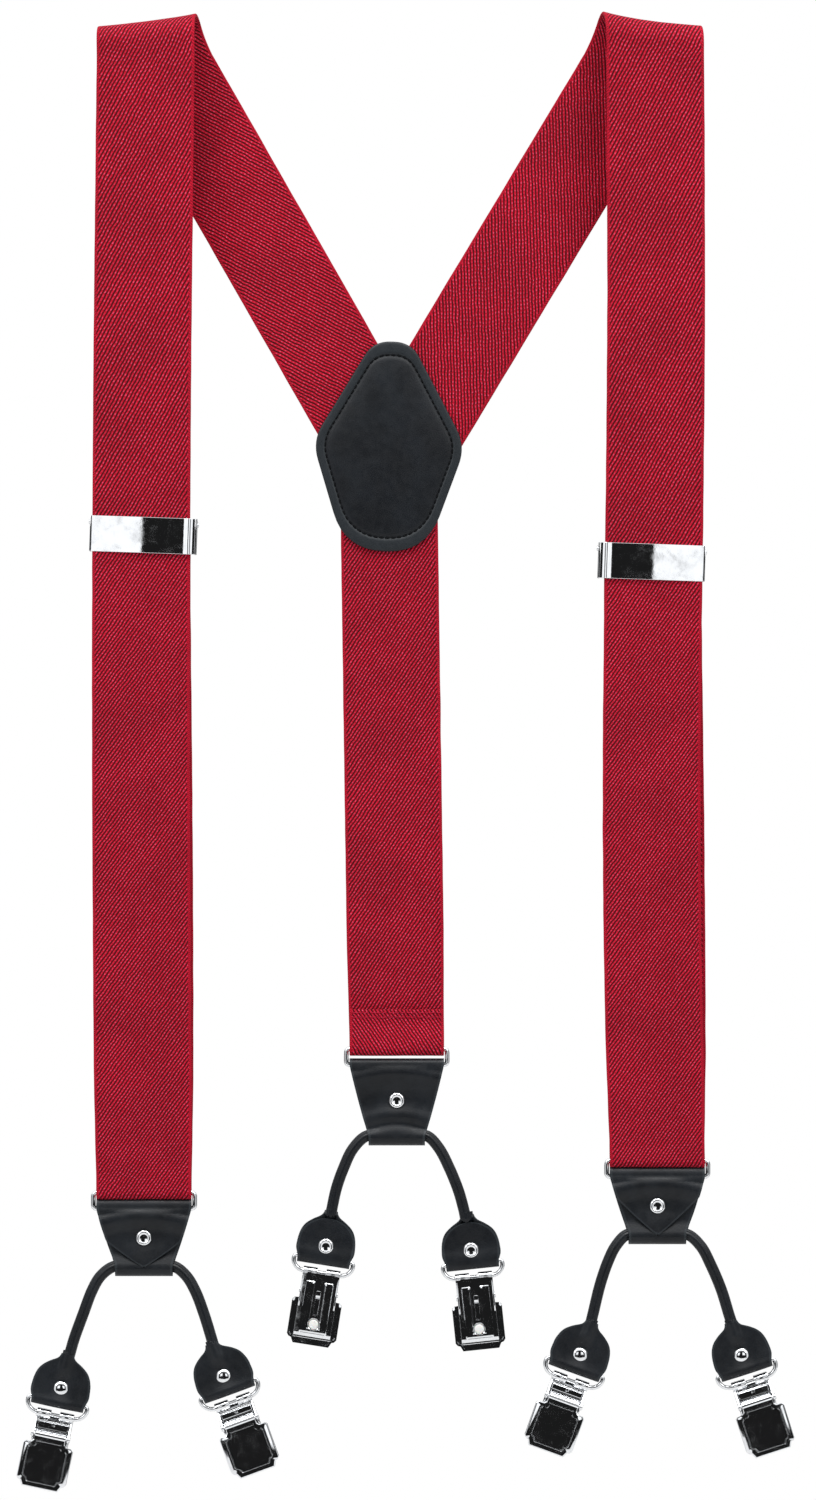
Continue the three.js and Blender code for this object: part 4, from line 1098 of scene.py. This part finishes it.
def basePlate():
    # the pressed back plate: raised rail, long slot and a round hole for the stud
    top, bottom = -0.2, -23.5
    hole, holeZ = clip["holeRadius"], clip["holeZ"]
    bm = bmesh.new()
    bmesh.ops.create_grid(bm, x_segments=44, y_segments=78, size=0.5)
    gone = []
    for vert in bm.verts:
        x, z = vert.co.x * 2 * clip["half"], bottom + (vert.co.y + 0.5) * (top - bottom)
        # a broad raised U with a sunk tongue, and a border that leans back
        aside = abs(abs(x) - 3.35)
        ridge = smooth((1.45 - aside) / 0.28) * smooth((z + 21.2) / 0.4) * smooth((-3.2 - z) / 0.4)
        across = smooth((0.75 - abs(z + 20.5)) / 0.3) * smooth((4.8 - abs(x)) / 0.3)
        ridge = max(ridge, across)
        edge = max(abs(x) - 5.0, 0) * (0.9 if x > 0 else 0.15)
        foot = smooth((-21.6 - z) / 1.2)
        vert.co = Vector((x, clip["knuckle"] + 0.32 * ridge - 0.12 * edge - 0.3 * foot, z))
    for face in bm.faces:
        middle = face.calc_center_median()
        inSlot = abs(middle.x) < clip["slotHalf"] and -15.2 < middle.z < -6.4
        inHole = math.hypot(middle.x, middle.z - holeZ) < hole
        if inSlot or inHole:
            gone.append(face)
    bmesh.ops.delete(bm, geom=gone, context="FACES")
    for vert in bm.verts:
        away = Vector((vert.co.x, vert.co.z - holeZ))
        if vert.is_boundary and away.length < hole + 0.5:
            away = away.normalized() * hole
            vert.co.x, vert.co.z = away.x, away.y + holeZ
        elif vert.is_boundary and 0.5 < abs(vert.co.x) < 1.2 and -15.6 < vert.co.z < -6:
            vert.co.x = math.copysign(clip["slotHalf"], vert.co.x)
    fromMillimetres(bm)
    plateMesh = makeObject("basePlate", bm, clipSkin)
    thicken(plateMesh, clip["sheet"] * mm)
    roundEdges(plateMesh, 0.12 * mm, 2, 60)
    return settle(plateMesh, 40)


def joined(name, parts, skin, sharp=40):
    # one mesh out of several closed ones
    bm = bmesh.new()
    for part in parts:
        bm.from_mesh(part.data)
        bpy.data.objects.remove(part)
    bmesh.ops.recalc_face_normals(bm, faces=bm.faces[:])
    return makeObject(name, bm, skin, sharp=sharp)


def clipBasePiece(name):
    bm = bmesh.new()
    near, far = clip["knuckle"] - clip["sheet"] / 2, clip["knuckle"] + clip["sheet"] / 2
    for low, high in ((-clip["half"], -1.6), (1.6, clip["half"])):
        section = [(low, near), (low, far), (high, far), (high, near)]
        verts = [bm.verts.new((x, y, 0)) for x, y in section]
        face = bm.faces.new(verts)
        bmesh.ops.spin(bm, geom=[face, *face.edges, *verts], cent=(0, 0, 0), axis=(1, 0, 0),
                       angle=math.radians(250), steps=20, use_merge=False, use_duplicate=False)
        block(bm, (low, near, -0.45), (high, far, 0.02))
    pinY, pinZ = clip["pinY"], clip["pinZ"]
    for side in (-1, 1):
        near, far = sorted((side * clip["half"], side * (clip["half"] - clip["sheet"])))
        around = [(pinY + 1.35 * math.cos(math.radians(a)), pinZ + 1.35 * math.sin(math.radians(a)))
                  for a in range(120, 301, 20)]
        outline = [(1.68, -1.3), (-0.9, -1.5), (-1.9, -3.6)] + around + [(-0.6, -10.6), (1.68, -12.5)]
        sidePlate(bm, outline, near, far)
        barAcross(bm, 1.0, 0.5, pinY, pinZ, 20, side * 6.75)
    barAcross(bm, 0.55, 13.4, pinY, pinZ, 16)
    fromMillimetres(bm)
    fittings = makeObject("baseFittings", bm, clipSkin)
    roundEdges(fittings, 0.12 * mm, 2, 50)
    settle(fittings)
    return joined(name, [basePlate(), fittings], clipSkin, 24)


def leverPiece(name):
    # the pressed cover: a plate with folded flanges and a folded lip, on a rolled barrel
    outline = [(-5.6, -7.4), (-5.6, -9.1), (-6.4, -9.9), (-8.2, -10.1), (-8.9, -10.9), (-8.9, -23.0),
               (-8.2, -23.9), (-7.3, -24.2), (-6.4, -26.0)]
    outline += [(-x, z) for x, z in outline[::-1]]
    # rings from the open back, round the folded edge and in across the face, with a fine pressed line
    rings = [(0.6, "floor"), (0.6, "foot"), (0.0, "foot"), (0, -3.75), (0.12, -3.98), (0.4, -4.1),
             (1.8, -4.12), (1.9, -3.96), (2.05, -3.96), (2.15, -4.12), (4.5, -4.1)]
    bm = bmesh.new()
    loops = []
    for inset, level in rings:
        verts = []
        for x, z in outline:
            y = level
            if level == "floor":
                y = -3.6
            if level == "foot":
                y = -1.2 if z < -10.5 else -3.5
            verts.append(bm.verts.new((x * (1 - inset / 8.9), y, -16.8 + (z + 16.8) * (1 - inset / 9.2))))
        loops.append([bm.edges.new(pair) for pair in zip(verts, verts[1:] + verts[:1])])
    skinOver(bm, loops)
    fromMillimetres(bm)
    cover = makeObject("leverCover", bm, clipSkin, sharp=20)
    bm = bmesh.new()
    turned(bm, [(0, -5.55), (1.05, -5.55), (1.2, -5.4), (1.2, 5.4), (1.05, 5.55), (0, 5.55)], 32)
    bmesh.ops.rotate(bm, verts=bm.verts[:], cent=(0, 0, 0), matrix=Matrix.Rotation(math.radians(-90), 3, "Z"))
    bmesh.ops.translate(bm, verts=bm.verts[:], vec=(0, clip["pinY"], clip["pinZ"]))
    block(bm, (-5.5, -1.95, -8.0), (5.5, -1.15, -6.3))
    fromMillimetres(bm)
    barrel = makeObject("leverBarrel", bm, clipSkin)
    roundEdges(barrel, 0.1 * mm, 2, 50)
    settle(barrel)
    return joined(name, [cover, barrel], clipSkin, 20)


def jawPiece(name):
    # the inner jaw, with a small hole below its pivot holes
    bm = bmesh.new()
    bmesh.ops.create_grid(bm, x_segments=26, y_segments=50, size=0.5)
    top, bottom = -1.7, -23.0
    gone = []
    for vert in bm.verts:
        x, z = vert.co.x * 2 * 5.6, bottom + (vert.co.y + 0.5) * (top - bottom)
        rib = smooth((0.5 - abs(z + 5.4)) / 0.35) + smooth((0.5 - abs(z + 8.9)) / 0.35)
        bend = smooth((-22.2 - z) / 0.8)
        vert.co = Vector((x, -0.5 - 0.28 * rib + 1.0 * bend, z))
    for face in bm.faces:
        middle = face.calc_center_median()
        spots = [(0.0, -3.4, 0.62), (-2.9, -2.2, 0.4), (2.9, -2.2, 0.4)]
        if any(math.hypot(middle.x - x, middle.z - z) < r for x, z, r in spots):
            gone.append(face)
    bmesh.ops.delete(bm, geom=gone, context="FACES")
    fromMillimetres(bm)
    sheet = makeObject("jawSheet", bm, clipSkin)
    thicken(sheet, 0.5 * mm)
    roundEdges(sheet, 0.1 * mm, 2, 60)
    settle(sheet)
    bm = bmesh.new()
    barAcross(bm, 0.4 * mm, 13.0 * mm, -0.5 * mm, -2.6 * mm, 16)
    trunnion = makeObject("jawTrunnion", bm, clipSkin)
    return joined(name, [sheet, trunnion], clipSkin, 24)


def padPiece(name):
    bm = bmesh.new()
    turned(bm, [(r * mm, y * mm) for r, y in (
        (0, -1.4), (1.5, -1.4), (1.8, -1.25), (1.8, -0.95), (1.25, -0.9), (1.25, -0.1), (2.8, 0.05),
        (2.8, 0.45), (1.75, 0.55), (1.75, 1.55), (1.6, 1.72), (1.2, 1.8), (0, 1.84))], 36, (0, 0, clip["holeZ"] * mm))
    bmesh.ops.recalc_face_normals(bm, faces=bm.faces[:])
    return makeObject(name, bm, nylonSkin, sharp=45)


clipParts = [("base", clipBasePiece, "clip", "polished_nickel"),
             ("lever", leverPiece, "lever", "polished_nickel"),
             ("jaw", jawPiece, "jaw", "polished_nickel"), ("pad", padPiece, "jaw", "white_nylon")]
for setName, hangingSet in sets.items():
    base = setMatrix(hangingSet)
    level = cordLevel(hangingSet)
    spacing = leatherTab["spacing"]
    ringHalf = 17.95 * mm
    corners = [(x, z, 1.4 * mm) for x, z in ((-ringHalf, 0), (ringHalf, 0), (ringHalf, -spacing),
                                             (-ringHalf, -spacing))]
    path = [Vector((point.x, 0, point.y)) for point in roundedCorners(corners)]
    ring = wireLoop(f"{setName}StrapRing", path, 0.85 * mm)
    finishPiece(ring, base, f"{setName}_ring", "polished_nickel", f"{setName}_strap_ring")
    tab = leatherTabStrip(f"{setName}LeatherTab", hangingSet)
    finishPiece(tab, base, f"{setName}_tab", "black_leather", f"{setName}_leather_tab")
    rivetZ = (level - spacing) / 2
    rivet = rivetPiece(f"{setName}TabRivet", studFront, 1.65, 1.05)
    finishPiece(rivet, base @ Matrix.Translation((0, 0, rivetZ)), f"{setName}_tab", "polished_nickel",
                f"{setName}_tab_rivet")
    path = cordPath(hangingSet)
    bm = bmesh.new()
    sweep(bm, path, cordShape["radius"], cordShape["sides"],
          shape=lambda angle, i, count=len(path): cordSection(angle, i, count))
    cord = makeObject(f"{setName}ClipCord", bm, cordSkin, sharp=70)
    finishPiece(cord, base, f"{setName}_cord", "black_leather", f"{setName}_clip_cord")
    for endName, end in hangingSet["ends"].items():
        place = base @ endMatrix(hangingSet, end)
        flare = endTabStrip(f"{endName}EndTab")
        finishPiece(flare, place, f"{setName}_cord", "black_leather")
        rivet = rivetPiece(f"{endName}CordRivet", domeFront, 0.95, 0.95)
        finishPiece(rivet, place, f"{setName}_cord", "polished_nickel", f"{endName}_cord_rivet")
        link = wireLoop(f"{endName}LinkRing", dRingPath(), 0.78 * mm)
        finishPiece(link, place @ Matrix.Translation((0, 0, endTab["barZ"])), f"{endName}_d_ring_link",
                    "polished_nickel", f"{endName}_d_ring")
        hinge = place @ Matrix.Translation((0, 0, -clip["hingeDrop"]))
        for part, build, body, slotName in clipParts:
            finishPiece(build(f"{endName}Clip{part.title()}"), hinge, f"{endName}_{body}", slotName,
                        f"{endName}_clip_{part}")


# sliders
def sliderFramePiece(name, outward):
    # outward is the side whose half of the face leans back; the other half lies square
    bm = bmesh.new()
    bmesh.ops.create_grid(bm, x_segments=60, y_segments=6, size=0.5)
    for vert in bm.verts:
        x, z = vert.co.x * 2 * slider["half"], vert.co.y * slider["height"]
        past = x * outward + 0.4
        ease = 1.6
        run = 0 if past < -ease else past if past > ease else (past + ease) ** 2 / (4 * ease)
        lean = math.tan(math.radians(slider["bend"])) * run
        innerX = -x * outward
        step = 0.10 * smooth((innerX - 15.6) / 0.5)
        step -= 0.22 * smooth((innerX - 15.0) / 0.35) * smooth((17.0 - innerX) / 0.4)
        groove = 0.22 * smooth((0.3 - abs(x * outward - 17.3)) / 0.25)
        vert.co = Vector((x, -1.25 + lean + step + groove, z))
    fromMillimetres(bm)
    face = makeObject("sliderFace", bm, nickelSkin)
    thicken(face, 0.6 * mm)
    roundEdges(face, 0.14 * mm, 2, 50)
    settle(face, 20)
    bm = bmesh.new()
    for side in (-1, 1):
        near, far = sorted((side * 18.2, side * 18.9))
        outline = [(-1.5, 6.3), (-0.9, 6.35), (3.2, 6.35), (4.2, 5.6), (4.6, 4.6), (4.6, -5.4), (3.8, -6.3),
                   (-0.9, -6.35), (-1.5, -6.3)]
        sidePlate(bm, outline, near, far)
    barAcross(bm, 0.7, 37.4, 3.6, -4.55, 24)
    fromMillimetres(bm)
    walls = makeObject("sliderWalls", bm, nickelSkin)
    roundEdges(walls, 0.15 * mm, 2, 50)
    settle(walls, 20)
    return joined(name, [face, walls], nickelSkin, 20)


def sliderLeverPiece(name):
    bm = bmesh.new()
    block(bm, (-17.9, 2.5, -3.1), (17.9, 3.1, 4.2))
    block(bm, (-17.9, 1.0, -3.15), (17.9, 3.05, -2.6))
    barAcross(bm, 0.9, 35.8, 2.2, 4.25, 24)
    barAcross(bm, 0.5, 39.0, 2.2, 4.25, 20)
    for side in (-1, 1):
        barAcross(bm, 0.95, 0.35, 2.2, 4.25, 24, side * 19.25)
    fromMillimetres(bm)
    lever = makeObject(name, bm, nickelSkin)
    roundEdges(lever, 0.12 * mm, 2, 50)
    return settle(lever, 20)


for sideName, side in straps.items():
    middle = frontX(side, side["sliderZ"]) - side["sign"] * slider["shift"]
    place = Matrix.Translation((middle, -7 * mm, side["sliderZ"]))
    place = place @ Matrix.Rotation(math.radians(slider["roll"]), 4, "Y")
    finishPiece(sliderFramePiece(f"{sideName}SliderFrame", side["sign"]), place, f"{sideName}_adjuster",
                "polished_nickel", f"{sideName}_slider_frame")
    finishPiece(sliderLeverPiece(f"{sideName}SliderLever"), place, f"{sideName}_adjuster_lever",
                "polished_nickel", f"{sideName}_slider_lever")
print("sliders ready")


# sewing across the back strap
bm = bmesh.new()
for row in range(2):
    for i in range(15):
        x = backStrap["ringX"] + (i - 7) * 2.15 * mm
        z = backStrap["ringZ"] + (11.3 + 1.6 * row) * mm + 0.1 * mm * noise.noise(Vector((i * 1.3, row, 2)))
        for y in (4.78 * mm, 7.68 * mm):
            spot = Matrix.Translation((x, y, z)) @ Matrix.Diagonal((0.95 * mm, 0.14 * mm, 0.2 * mm, 1))
            bmesh.ops.create_uvsphere(bm, u_segments=8, v_segments=5, radius=1, matrix=spot)
finishPiece(makeObject("backStrapStitches", bm, redThread, sharp=80), None, "yoke", "crimson_elastic")
print("sewing ready")
